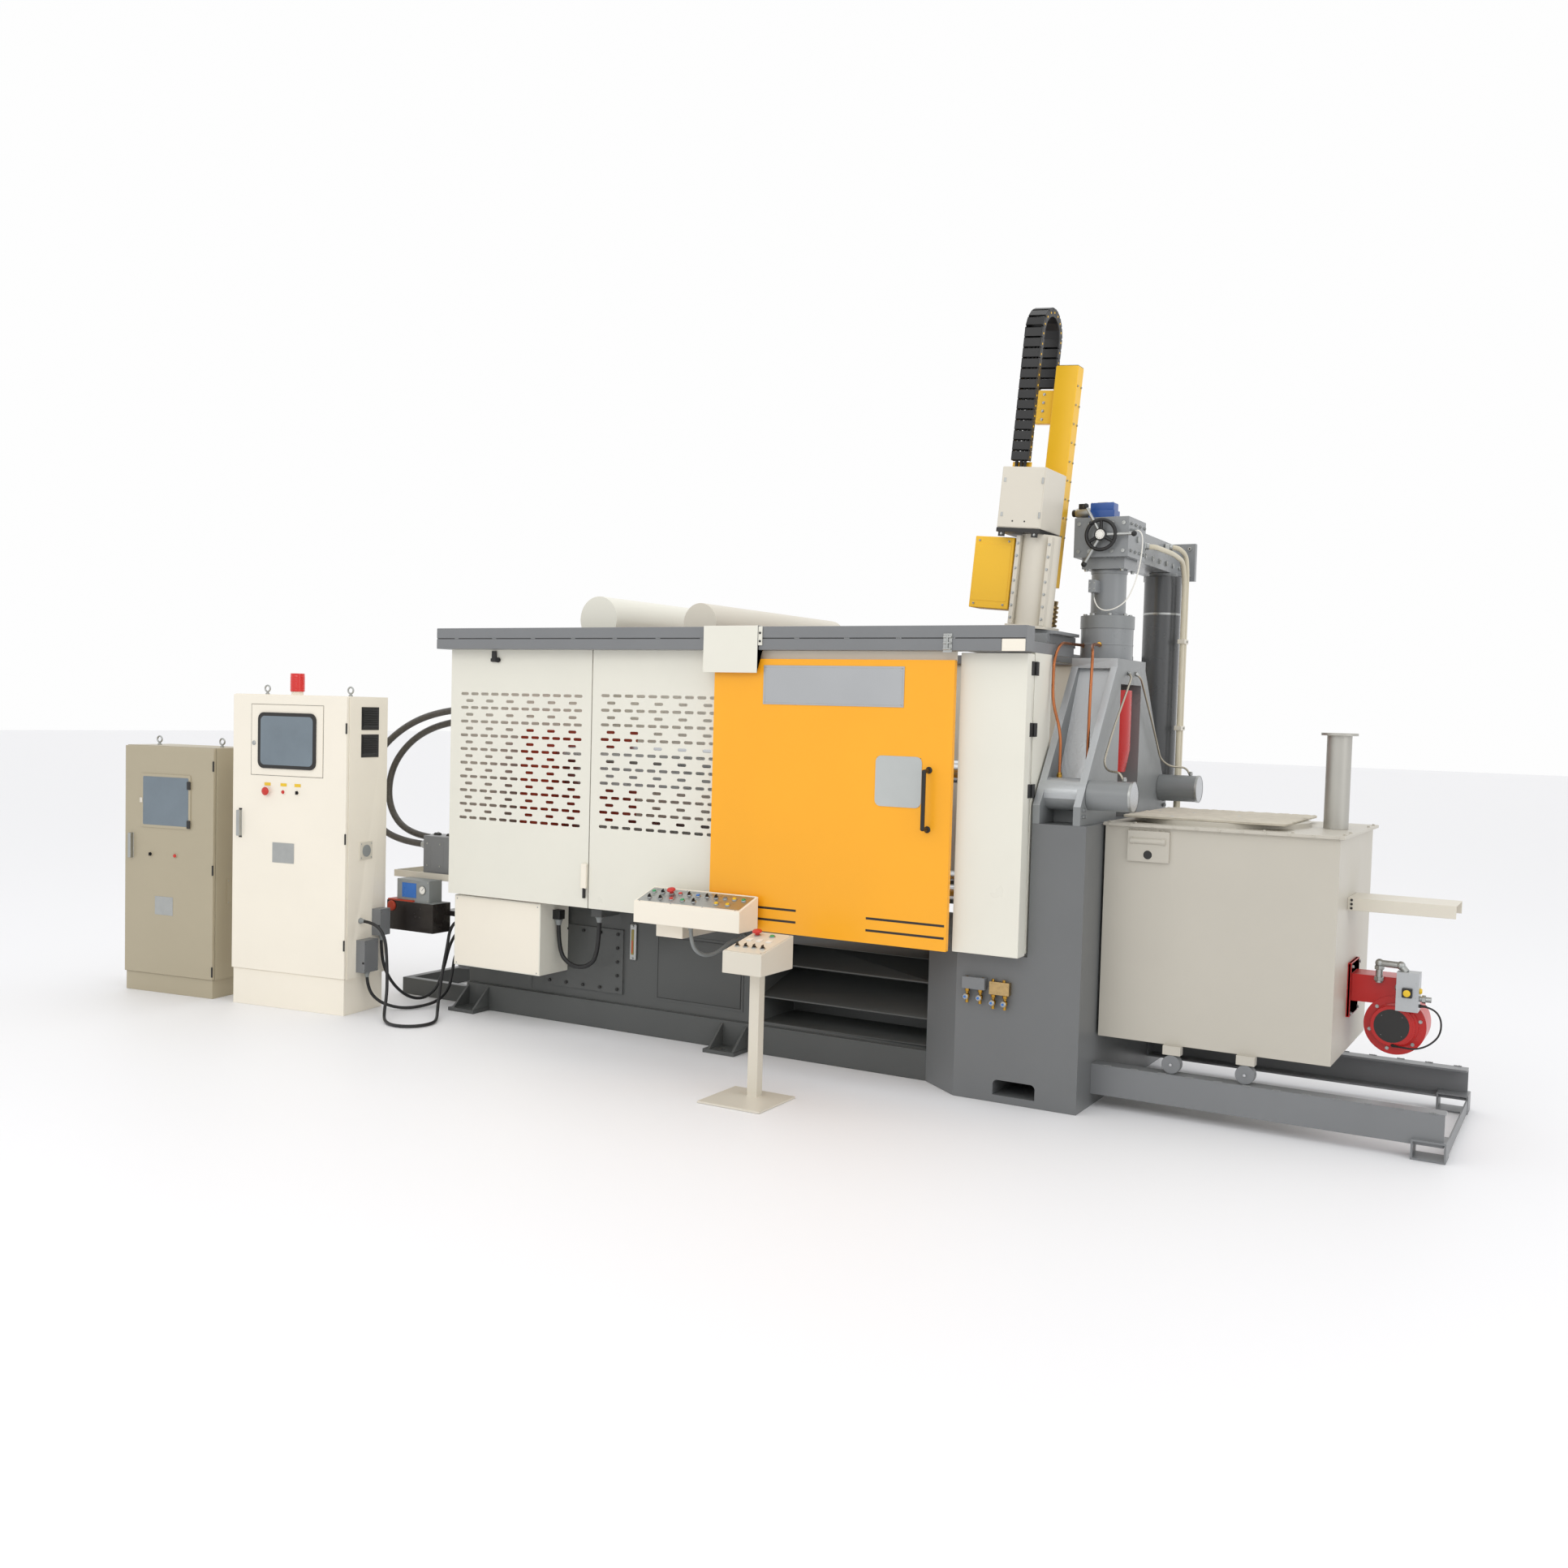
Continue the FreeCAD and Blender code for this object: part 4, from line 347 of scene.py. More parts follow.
cap_looks = {name: coat(f"{name}_button_cap", code, 0.30, shade=0.06, clear=0.2) for name, code in {
    "red": "#C9291C", "green": "#1F9A5B", "yellow": "#EBC21F", "blue": "#2E6FC0", "black": "#1D1D1E",
    "white": "#EDEBE4", "grey": "#6E6E6C", "orange": "#E08A1E"}.items()}
lens_red = coat("red_lamp_lens", "#C8140E", 0.14, shade=0.10, clear=0.5, glow=0.15)
print("finishes", len(bpy.data.materials))

# %% [markdown]
# ## Shapes
# A machine is mostly plate, tube and turned parts. Each is made in a small mesh of its own, where its
# faces are turned outwards, and is then laid into the mesh of the piece that it belongs to. Every edge
# that a hand would touch is rolled over a little, because a knife-sharp edge catches no light.

# %% laying one shape into a piece


def lay(mesh, shape, where=None, paint=0):
    """Turn a shape's faces outwards, place it and add it to a piece's mesh."""
    bmesh.ops.remove_doubles(shape, verts=shape.verts, dist=1e-6)
    bmesh.ops.recalc_face_normals(shape, faces=shape.faces)
    for face in shape.faces:
        face.material_index = paint
    if where is not None:
        shape.transform(where)
    carrier = bpy.data.meshes.new("carrier")
    shape.to_mesh(carrier)
    shape.free()
    mesh.from_mesh(carrier)
    bpy.data.meshes.remove(carrier)


def block(mesh, low, high, soft=0.0, paint=0, where=None, steps=2):
    """A plate or a box from its two corners, with rolled edges."""
    low, high = Vector(low), Vector(high)
    shape = bmesh.new()
    spread = Matrix.Diagonal((*(high - low), 1))
    bmesh.ops.create_cube(shape, size=1, matrix=Matrix.Translation((low + high) / 2) @ spread)
    soft = min(soft, min(high - low) * 0.45)
    if soft:
        bmesh.ops.bevel(shape, geom=list(shape.edges), offset=soft, affect="EDGES", segments=steps,
                        profile=0.5, material=-1)
    lay(mesh, shape, where, paint)


def along(start, end):
    """The matrix that stands the Z axis on a start point and points it at an end."""
    start, end = Vector(start), Vector(end)
    return Matrix.Translation(start) @ (end - start).to_track_quat("Z", "Y").to_matrix().to_4x4()


def bar(mesh, start, end, radius, soft=0.0, paint=0, sides=24, tip=None, where=None):
    """A round bar, a hexagon or a taper between two points."""
    shape = bmesh.new()
    reach = (Vector(end) - Vector(start)).length
    bmesh.ops.create_cone(shape, cap_ends=True, segments=sides, radius1=radius,
                          radius2=radius if tip is None else tip, depth=reach,
                          matrix=Matrix.Translation((0, 0, reach / 2)))
    if soft:
        rims = [edge for edge in shape.edges if any(len(face.verts) > 4 for face in edge.link_faces)]
        bmesh.ops.bevel(shape, geom=rims, offset=soft, affect="EDGES", segments=2, profile=0.5, material=-1)
    lay(mesh, shape, (where or Matrix()) @ along(start, end), paint)


def turned(mesh, outline, start, end, paint=0, sides=32, where=None):
    """Spin an outline of (radius, height) points about the line from a start point to an end."""
    shape = bmesh.new()
    points = [shape.verts.new((radius, 0, height)) for radius, height in outline]
    lines = [shape.edges.new(pair) for pair in zip(points, points[1:])]
    bmesh.ops.spin(shape, geom=points + lines, axis=(0, 0, 1), cent=(0, 0, 0), angle=math.tau, steps=sides,
                   use_merge=True)
    lay(mesh, shape, (where or Matrix()) @ along(start, end), paint)


def bolt(mesh, place, facing, size=0.008, paint=0, where=None):
    """A hexagon head on its washer; size is the washer's radius."""
    place, facing = Vector(place), Vector(facing).normalized()
    bar(mesh, place, place + facing * size * 0.25, size, paint=paint, sides=16, where=where)
    bar(mesh, place + facing * size * 0.2, place + facing * size * 0.95, size * 0.8, soft=size * 0.1,
        paint=paint, sides=6, where=where)


def rivet(mesh, place, facing, paint=0, where=None):
    """A small flat-headed rivet or cover screw."""
    place = Vector(place)
    turned(mesh, [(0, 0), (0.004, 0), (0.003, 0.002), (0, 0.002)], place, place + Vector(facing), paint, 12,
           where)


def strips(mesh, corners, wide, front, back, soft=0.0, paint=0):
    """Four strips of one width round a rectangle given as left, right, low and high."""
    left, right_side, low, high = corners
    for near, far in (((left, low), (left + wide, high)), ((right_side - wide, low), (right_side, high)),
                      ((left, low), (right_side, low + wide)), ((left, high - wide), (right_side, high))):
        block(mesh, (near[0], front, near[1]), (far[0], back, far[1]), soft, paint)


def lifting_eye(mesh, x, y, z):
    """A threaded collar with a ring on it."""
    turned(mesh, [(0, 0), (0.012, 0), (0.012, 0.006), (0.007, 0.010), (0.007, 0.014), (0, 0.014)],
           (x, y, z), (x, y, z + 1), 0, 20)
    hoop = [(0.018 + 0.005 * math.cos(math.radians(30 * step)), 0.005 * math.sin(math.radians(30 * step)))
            for step in range(13)]
    turned(mesh, hoop, (x, y, z + 0.034), (x, y - 1, z + 0.034), 0, 32)


def socket_screw(mesh, place, facing, size=0.008, paint=0, hole=1, where=None):
    """A round-headed screw; its six-sided socket is a flat dark disc, painted shade for the recess."""
    place, facing = Vector(place), Vector(facing).normalized()
    top = place + facing * size
    bar(mesh, place, top, size, soft=size * 0.12, paint=paint, sides=20, where=where)
    # The socket is not cut: a flat dark hexagon on the head is painted shade for it.
    bar(mesh, top, top + facing * 0.0004, size * 0.55, paint=hole, sides=6, where=where)


def show(name, mesh, looks, body="machine", stands_for=(), where=None, crease=38):
    """Turn a mesh into a finished piece that rides on its body."""
    data = bpy.data.meshes.new(name)
    if where is not None:
        mesh.transform(where)
    mesh.to_mesh(data)
    mesh.free()
    for look in looks:
        data.materials.append(look)
    data.shade_smooth()
    data.set_sharp_from_angle(angle=math.radians(crease))
    made = bpy.data.objects.new(name, data)
    bpy.context.collection.objects.link(made)
    even = made.modifiers.new("even_shading", "WEIGHTED_NORMAL")
    even.keep_sharp = True
    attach(made, body)
    if stands_for:
        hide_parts(*stands_for)
    print(name, "faces", len(data.polygons))
    return made


# %% soft-edged copy of a node


def dress(node, looks, soft=0.003, body="machine", choose=None, steps=2, flatten=True):
    """Replace a node with a merged copy of itself whose sharp edges are rolled over."""
    shape = bmesh.new()
    shape.from_mesh(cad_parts[node].data)
    bmesh.ops.remove_doubles(shape, verts=shape.verts, dist=2e-5)
    if flatten:
        bmesh.ops.dissolve_limit(shape, angle_limit=math.radians(0.5), verts=shape.verts, edges=shape.edges,
                                 delimit={"NORMAL"})
    shape.normal_update()
    for face in shape.faces:
        face.material_index = choose(face.calc_center_median(), face.normal) if choose else 0
    data = bpy.data.meshes.new(f"{node}_finish")
    shape.to_mesh(data)
    shape.free()
    for look in looks:
        data.materials.append(look)
    data.shade_smooth()
    data.set_sharp_from_angle(angle=math.radians(30))
    made = bpy.data.objects.new(f"{node}_finish", data)
    bpy.context.collection.objects.link(made)
    roll_over = made.modifiers.new("rolled_edges", "BEVEL")
    roll_over.width = soft
    roll_over.segments = steps
    roll_over.limit_method = "ANGLE"
    roll_over.angle_limit = math.radians(30)
    roll_over.harden_normals = True
    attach(made, body)
    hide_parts(node)
    return made


# %% [markdown]
# ## Column, bed and feet
# Heavy plate, welded and brushed with enamel. The edges are ground to a few millimetres, the weld beads
# stay visible along the sill, and the tank covers are held by rows of bolts.

# %% column, bed, feet and floor frame
dress("platen_column", [column_enamel], 0.006, steps=3)
dress("bed_frame", [bed_enamel], 0.003, flatten=False)
dress("anchor_feet", [bed_enamel], 0.002)
dress("floor_frame", [bed_enamel], 0.004)
dress("furnace_rails", [rail_enamel], 0.002)

# %% [markdown]
# A hand weld is a row of overlapping drops. Each bead here is one rounded blob, stretched along the
# seam and varied a little in width. A smooth strip would be quicker, but it reads as tape, not weld.

# %% weld beads along the sill and the rails


def weld_run(mesh, start, end, radius, pitch, paint=0):
    """A row of short overlapping beads, as a hand weld leaves."""
    start, end = Vector(start), Vector(end)
    count = max(2, round((end - start).length / pitch))
    for index in range(count):
        middle = start.lerp(end, (index + 0.5) / count)
        shape = bmesh.new()
        bmesh.ops.create_icosphere(shape, subdivisions=1, radius=radius)
        wide = random.uniform(0.85, 1.15)
        stretch = Matrix.Diagonal((pitch * 0.62 / radius, wide, wide, 1))
        turn = (end - start).to_track_quat("X", "Z").to_matrix().to_4x4()
        lay(mesh, shape, Matrix.Translation(middle) @ turn @ stretch, paint)


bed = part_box("bed_frame")
beads = bmesh.new()
wall_front = bed[0][1] + 0.160
weld_run(beads, (-3.46, wall_front - 0.001, 0.149), (-0.53, wall_front - 0.001, 0.149), 0.004, 0.016)
weld_run(beads, (-2.999, wall_front, 0.16), (-2.999, wall_front, 0.68), 0.003, 0.016)
show("sill_weld_beads", beads, [bed_enamel])
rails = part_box("furnace_rails")
tacks = bmesh.new()
for side in (-1, 1):
    for index in range(12):
        x = 0.36 + index * 0.125
        weld_run(tacks, (x, side * 0.499, rails[1][2]), (x + 0.035, side * 0.499, rails[1][2]), 0.005,
                 0.007)
show("rail_tack_welds", tacks, [weld])

# %% [markdown]
# The oil tank is reached through covers. One is held by socket screws at an even pitch; the other
# shows only by the gap round its edge, drawn as black strips in front of it as painted shade. The gauge
# is a cast frame round a sight glass with oil in it.

# %% bolted cover, oil gauge and the second cover's gap
cover = bmesh.new()
left, right_edge, low, high = -2.895, -2.355, 0.203, 0.558
face = wall_front - 0.012
block(cover, (left, face - 0.001, low), (right_edge, face + 0.002, high), 0.001)
for index in range(5):
    x = left + 0.035 + index * (right_edge - left - 0.07) / 4
    for z in (low + 0.025, high - 0.025):
        socket_screw(cover, (x, face - 0.001, z), (0, -1, 0), 0.009, 1, 1)
for index in range(1, 4):
    z = low + 0.025 + index * (high - low - 0.05) / 4
    for x in (left + 0.035, right_edge - 0.035):
        socket_screw(cover, (x, face - 0.001, z), (0, -1, 0), 0.009, 1, 1)
show("bolted_tank_cover", cover, [bed_enamel, black_coat])

gauge = bmesh.new()
gx, gy = -2.29, wall_front
block(gauge, (gx - 0.022, gy - 0.016, 0.40), (gx + 0.022, gy, 0.60), 0.012, 0, steps=4)
block(gauge, (gx - 0.009, gy - 0.0185, 0.43), (gx + 0.009, gy - 0.012, 0.57), 0.003, 1)
block(gauge, (gx - 0.003, gy - 0.0200, 0.44), (gx + 0.003, gy - 0.0180, 0.51), 0.001, 2)
for z in (0.412, 0.588):
    bolt(gauge, (gx, gy - 0.016, z), (0, -1, 0), 0.008, 0)
show("oil_level_gauge", gauge, [zinc, oil_sight, cap_looks["red"]])

second = bmesh.new()
# The black strips round the second cover are painted shade for the thin gap at its edge.
strips(second, (-2.127, -1.596, 0.214, 0.548), 0.003, wall_front - 0.0068, wall_front - 0.004)
block(second, (-2.14, wall_front - 0.004, 0.20), (-1.583, wall_front - 0.0005, 0.562), 0.001, 1)
show("side_cover_gap", second, [black_coat, bed_enamel])
print("bed pieces done")

# %% [markdown]
# Two manifold blocks feed four small taps. A tap is turned on a lathe, so its body is one outline
# spun round an axis, and its round handle is a second, on a short spindle that faces the operator.

# %% cooling-water valves on the column
taps = bmesh.new()
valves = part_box("column_valves")
plate_y = valves[1][1]
block(taps, (valves[0][0], plate_y - 0.036, 0.520), (-0.145, plate_y, valves[1][2]), 0.003, 0)
block(taps, (-0.125, plate_y - 0.030, 0.505), (valves[1][0], plate_y, 0.566), 0.003, 1)
for index, x in enumerate((-0.235, -0.170, -0.105, -0.048)):
    y = plate_y - 0.020
    top = 0.520 if index < 2 else 0.505
    turned(taps, [(0, 0), (0.011, 0), (0.011, 0.012), (0.007, 0.014), (0.007, 0.024), (0.012, 0.027),
                  (0.012, 0.044), (0.007, 0.047), (0.008, 0.066), (0, 0.066)], (x, y, top), (x, y, top - 1),
           2, 16)
    bar(taps, (x, y, top - 0.036), (x, y - 0.022, top - 0.036), 0.004, paint=2, sides=12)
    turned(taps, [(0, 0), (0.013, 0.001), (0.014, 0.006), (0.010, 0.010), (0, 0.010)],
           (x, y - 0.020, top - 0.036), (x, y - 1, top - 0.036), 3, 18)
    turned(taps, [(0, 0), (0.006, 0), (0.006, 0.002), (0, 0.002)], (x, y - 0.0305, top - 0.036),
           (x, y - 1, top - 0.036), 4, 14)
for x in (-0.238, -0.160, -0.110, -0.056):
    bar(taps, (x, plate_y - 0.018, 0.566), (x, plate_y - 0.018, 0.5765), 0.007, paint=2, sides=6)
show("cooling_water_valves", taps, [rail_enamel, bronze, brass, zinc, cap_looks["blue"]],
     stands_for=("column_valves",))

# %% [markdown]
# ## Guards
# The doors are folded from thin sheet with rows of slots punched through. A filled curve with holes
# gives the punched face in one step, which is cleaner than hundreds of cuts; the folds behind it are
# plain strips.

# %% punched door sheet


def slot_outline(x, z, wide, high):
    """One slot with round ends, as points that run round it."""
    reach = high / 2
    points = []
    for turn in range(6):
        angle = math.radians(-90 + 36 * turn)
        points.append((x + wide / 2 - reach + reach * math.cos(angle), z + reach * math.sin(angle)))
    for turn in range(6):
        angle = math.radians(90 + 36 * turn)
        points.append((x - wide / 2 + reach + reach * math.cos(angle), z + reach * math.sin(angle)))
    return points


def slotted_door(node, first_slot, long_row, pitch, low_row, rows=19, rise=0.0384):
    """Punch alternate long and short rows of slots through a door's sheet and fold its edges back."""
    (left, front, low), (right_side, back, high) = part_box(node)
    outlines = [[(left, low), (right_side, low), (right_side, high), (left, high)]]
    for row in range(rows):
        z = low_row + row * rise
        short = row % 2
        count = (long_row // 2) if short else long_row
        for index in range(count):
            step = (index * 2 + 0.5) if short else index
            outlines.append(slot_outline(first_slot + step * pitch, z, 0.055, 0.016))
    curve = bpy.data.curves.new(f"{node}_outline", "CURVE")
    curve.dimensions = "2D"
    curve.fill_mode = "BOTH"
    curve.extrude = 0.001
    for outline in outlines:
        spline = curve.splines.new("POLY")
        spline.points.add(len(outline) - 1)
        spline.use_cyclic_u = True
        for slot, (x, z) in zip(spline.points, outline):
            slot.co = (x, z, 0, 1)
    drawn = bpy.data.objects.new(f"{node}_outline", curve)
    flat = bpy.data.meshes.new_from_object(drawn)
    door = bmesh.new()
    sheet = bmesh.new()
    sheet.from_mesh(flat)
    lay(door, sheet, Matrix.Translation((0, front + 0.001, 0)) @ Matrix.Rotation(math.radians(90), 4, "X"))
    bpy.data.objects.remove(drawn)
    bpy.data.meshes.remove(flat)
    strips(door, (left, right_side, low, high), 0.002, front + 0.0005, back)
    print(node, "slots", len(outlines) - 1)
    return show(f"{node}_punched", door, [white_coat], stands_for=(node,), crease=30)


slotted_door("first_door", -3.272, 12, 0.0722, 1.142)
slotted_door("second_door", -2.298, 13, 0.0755, 1.148)
dress("guard_panels", [white_coat, black_plastic], 0.002, flatten=False,
      choose=lambda middle, facing: int(middle.x > 0.0365))
dress("service_panel", [white_coat, black_plastic], 0.003, "service_cover", flatten=False,
      choose=lambda middle, facing: int(middle.x > 0.0365))

# %% [markdown]
# The platens and bars are seen only through the slots and when the safety door is open. Rolled edges
# on plain castings and turned bars are enough at that distance.

# %% clamp unit behind the slots
dress("clamp_platens", [orange_coat], 0.004)
dress("bars_and_links", [bright], 0.003)

# %% [markdown]
# The door is a pan: a 2 mm face with folded returns, hung from a cream header. Its face is four
# panels round the window hole. The stripes stand half a millimetre proud, so they never flicker.

# %% yellow door with its header, stripes, bare plate, window and handle
door_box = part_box("safety_door")
slide = bmesh.new()
front, back = -0.852, -0.826
left, right_edge, low, high = door_box[0][0], door_box[1][0], door_box[0][2], 2.036
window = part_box("door_window")
wl, wr, wb, wt = window[0][0], window[1][0], window[0][2], window[1][2]
for low_corner, high_corner in (((left, low), (right_edge, wb)), ((left, wt), (right_edge, high)),
                                ((left, wb), (wl, wt)), ((wr, wb), (right_edge, wt))):
    block(slide, (low_corner[0], front, low_corner[1]), (high_corner[0], front + 0.002, high_corner[1]), 0,
          0)
strips(slide, (left, right_edge, low, high), 0.003, front + 0.0004, back, 0.001)
block(slide, (left, back - 0.001, 2.030), (right_edge, back + 0.004, 2.0777), 0.002, 1)
for z in (0.812, 0.755):
    block(slide, (left + 0.10, front - 0.0006, z), (-1.085, front + 0.0004, z + 0.011), 0, 2)
    block(slide, (-0.705, front - 0.0006, z), (right_edge - 0.012, front + 0.0004, z + 0.011), 0, 2)
show("yellow_sliding_door", slide, [yellow_coat, light_coat, black_coat], "sliding_guard",
     ("safety_door",))

plate = bmesh.new()
block(plate, (-1.300, front - 0.003, 1.815), (-0.541, front, 2.005), 0.0012, 0)
strips(plate, (-1.292, -0.549, 1.823, 1.997), 0.003, front - 0.0034, front - 0.002, 0, 1)
for x in (-1.282, -0.559):
    for z in (1.833, 1.987):
        turned(plate, [(0, 0), (0.005, 0), (0.004, 0.0012), (0, 0.0016)], (x, front - 0.003, z),
               (x, front - 1, z), 2, 14)
show("bare_steel_plate", plate, [brushed, zinc, bright], "sliding_guard")

pane = bmesh.new()
shape = bmesh.new()
bmesh.ops.create_cube(shape, size=1, matrix=Matrix.Translation(((wl + wr) / 2, front - 0.0015,
                                                                (wb + wt) / 2))
                      @ Matrix.Diagonal((wr - wl + 0.012, 0.004, wt - wb + 0.012, 1)))
corners = [edge for edge in shape.edges if abs((edge.verts[0].co - edge.verts[1].co).y) > 0.001]
bmesh.ops.bevel(shape, geom=corners, offset=0.030, affect="EDGES", segments=8, profile=0.5, material=-1)
lay(pane, shape, None, 0)
show("rounded_window_sheet", pane, [window_sheet], "sliding_guard")
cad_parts["door_window"].data.materials.clear()
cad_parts["door_window"].data.materials.append(window_sheet)

grip = bmesh.new()
hx, hy = -0.403, front - 0.055
low_z, high_z = 1.262, 1.524
bar(grip, (hx, hy, low_z), (hx, hy, high_z), 0.010, 0.002, 0, 24)
for z, turn in ((low_z, 1), (high_z, -1)):
    ball = bmesh.new()
    bmesh.ops.create_uvsphere(ball, u_segments=20, v_segments=12, radius=0.0105)
    lay(grip, ball, Matrix.Translation((hx, hy, z)), 0)
    bar(grip, (hx, hy, z), (hx, front - 0.004, z - turn * 0.006), 0.0095, 0, 0, 20)
    turned(grip, [(0, 0), (0.016, 0), (0.016, 0.004), (0.011, 0.010), (0, 0.010)],
           (hx, front, z - turn * 0.006), (hx, front - 1, z - turn * 0.006), 0, 24)
show("bow_handle", grip, [black_plastic], "sliding_guard", ("door_handle",))
print("doors done")

# %% [markdown]
# The door hangs from two cold-formed channels, one on the other. The dark line between them, a black
# strip set in their gap as painted shade, and a tack weld every 0.27 m across it, are what tell two
# channels from one deep bar.

# %% hanging rail of two channels, tack welds, end blocks and the catch
rail_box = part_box("top_rail")
rail_face = rail_box[0][1] + 0.016
dress("top_rail", [rail_enamel, white_coat], 0.003,
      choose=lambda middle, facing: int(middle.y < rail_face - 0.001
                                        or (middle.x < -1.31 and middle.z > 2.192)))
channel = bmesh.new()
low, seam, high = 2.078, 2.1345, 2.192
block(channel, (-3.412, rail_face - 0.0045, low), (-0.06, rail_face + 0.004, seam - 0.002), 0.003, 0)
block(channel, (-3.412, rail_face - 0.0045, seam + 0.002), (0.058, rail_face + 0.004, high), 0.003, 0)
# A black strip in the gap between the channels: painted shade.
block(channel, (-3.40, rail_face - 0.001, seam - 0.003), (0.05, rail_face + 0.002, seam + 0.003), 0, 1)
block(channel, (-0.058, rail_face - 0.006, low - 0.001), (0.052, rail_face + 0.004, seam - 0.003), 0.003, 2)
for index in range(12):
    x = -3.28 + index * 0.27
    weld_run(channel, (x, rail_face - 0.003, seam), (x + 0.028, rail_face - 0.003, seam), 0.004, 0.009, 3)
show("rail_channels", channel, [rail_enamel, black_coat, cream_coat, weld])
catch = bmesh.new()
cx = -0.318
block(catch, (cx - 0.022, rail_face - 0.0085, 2.068), (cx + 0.022, rail_face - 0.0045, 2.155), 0.002, 0)
for z in (2.085, 2.112, 2.139):
    bar(catch, (cx - 0.020, rail_face - 0.011, z), (cx + 0.020, rail_face - 0.011, z), 0.005, 0.001, 0, 14)
bar(catch, (cx, rail_face - 0.013, 2.082), (cx, rail_face - 0.013, 2.146), 0.004, 0.001, 0, 12)
show("rail_catch", catch, [zinc])
flap = bmesh.new()
block(flap, (-1.318, rail_face - 0.012, 2.100), (-1.296, rail_face - 0.006, 2.192), 0.001, 0)
for z in (2.120, 2.160):
    bolt(flap, (-1.307, rail_face - 0.012, z), (0, -1, 0), 0.006, 1)
show("rail_cover_flap", flap, [white_coat, black_coat])

# %% [markdown]
# Small parts sit where the doors meet: a roller that steadies the top edge, and a switch that stops
# the machine when a door opens.

# %% roller bracket, door switch and roof hoods
extras = bmesh.new()
block(extras, (-3.075, -0.806, 2.010), (-3.045, -0.796, 2.070), 0.002, 0)
block(extras, (-3.075, -0.815, 2.012), (-3.020, -0.804, 2.030), 0.002, 0)
bar(extras, (-3.030, -0.815, 2.022), (-3.030, -0.798, 2.022), 0.014, 0.002, 1, 24)
show("door_roller", extras, [black_coat, rubber])
switch = bmesh.new()
block(switch, (-2.425, -0.815, 0.812), (-2.390, -0.796, 0.945), 0.004, 0)
block(switch, (-2.412, -0.8155, 0.760), (-2.398, -0.802, 0.815), 0.003, 1)
show("door_switch", switch, [cream_coat, black_plastic])
dress("roof_hoods", [white_coat, light_coat], 0.002, choose=lambda middle, facing: int(middle.x > -2.0))
box_marks = bmesh.new()
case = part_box("electrical_box")
for x in (case[0][0] + 0.02, -2.736 - 0.02):
    for z in (case[0][2] + 0.014, case[1][2] - 0.02):
        turned(box_marks, [(0, 0), (0.005, 0), (0.004, 0.002), (0, 0.0025)], (x, case[0][1], z),
               (x, case[0][1] - 1, z), 0, 12)
block(box_marks, (case[0][0] + 0.006, case[0][1] - 0.0012, case[0][2] + 0.006),
      (-2.742, case[0][1] + 0.001, case[1][2] - 0.006), 0.001, 1)
show("box_lid", box_marks, [zinc, cream_coat])
dress("electrical_box", [white_coat, black_plastic], 0.003,
      choose=lambda middle, facing: int(middle.x > -2.7355))
print("guards done")

# %% [markdown]
# ## Operator's desk and pedestal
# The keys are the parts that a hand meets. Each is a bezel, a short neck and a cap; the mushroom caps
# are turned. The desk is a folded sheet case whose top slopes towards the operator.

# %% one push button


def key(mesh, place, facing, cap, radius=0.014, kind="flush", where=None):
    """A push button: paint 0 is the bezel, and cap is the paint of its cap."""
    place, facing = Vector(place), Vector(facing).normalized()
    up = place + facing
    turned(mesh, [(0, 0), (radius, 0), (radius, 0.003), (radius * 0.86, 0.005), (radius * 0.78, 0.005),
                  (radius * 0.78, 0.002), (0, 0.002)], place, up, 0, 24, where)
    if kind == "mushroom":
        turned(mesh, [(0, 0.002), (radius * 0.7, 0.002), (radius * 0.7, 0.014), (radius * 1.45, 0.017),
                      (radius * 1.5, 0.022), (radius * 1.2, 0.028), (radius * 0.6, 0.031), (0, 0.032)],
               place, up, cap, 28, where)
    elif kind == "selector":
        turned(mesh, [(0, 0.002), (radius * 0.74, 0.002), (radius * 0.7, 0.009), (0, 0.010)], place, up,
               cap, 24, where)
        block(mesh, (-radius * 0.16, -radius * 0.7, 0.009), (radius * 0.16, radius * 0.7, 0.019), 0.001,
              cap, (where or Matrix()) @ along(place, up))
    else:
        turned(mesh, [(0, 0.002), (radius * 0.74, 0.002), (radius * 0.74, 0.008), (radius * 0.62, 0.010),
                      (0, 0.010)], place, up, cap, 24, where)


# %% desk case, legend plate and keys
dress("control_desk", [cream_coat], 0.003)
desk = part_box("control_desk")
front_y, back_y, front_z, back_z = desk[0][1], -0.880, 0.815, desk[1][2]
slope = math.atan2(back_z - front_z, back_y - front_y)
desk_frame = Matrix.Translation((desk[0][0], front_y, front_z)) @ Matrix.Rotation(slope, 4, "X")
deep = math.hypot(back_z - front_z, back_y - front_y)
keys = bmesh.new()
tags = bmesh.new()
looks = [zinc, cap_looks["green"], cap_looks["red"], cap_looks["black"], cap_looks["blue"],
         cap_looks["grey"], cap_looks["yellow"], cap_looks["white"]]
GREEN, RED, BLACK, BLUE, GREY, YELLOW, WHITE = range(1, 8)
wide = 0.622
block(tags, (0.012, 0.014, 0.0), (wide - 0.012, deep - 0.014, 0.0012), 0.0005, 0, desk_frame)
block(tags, (0.006, deep - 0.010, -0.004), (wide - 0.006, deep - 0.004, 0.003), 0.001, 1, desk_frame)
back_row = (GREEN, BLACK, RED, RED, BLACK, BLUE, BLACK, BLACK, GREY, YELLOW, GREEN)
front_row = (BLACK, BLACK, RED, GREEN, BLACK, None, YELLOW, YELLOW)
for index, cap in enumerate(back_row):
    kind = "mushroom" if index == 2 else "selector" if cap == BLACK else "flush"
    key(keys, (0.045 + index * 0.053, deep * 0.66, 0.001), (0, 0, 1), cap, 0.0135 if index != 2 else 0.015,
        kind, desk_frame)
    block(tags, (0.029 + index * 0.053, deep * 0.78, 0.001), (0.061 + index * 0.053, deep * 0.86, 0.002),
          0.0004, 2, desk_frame)
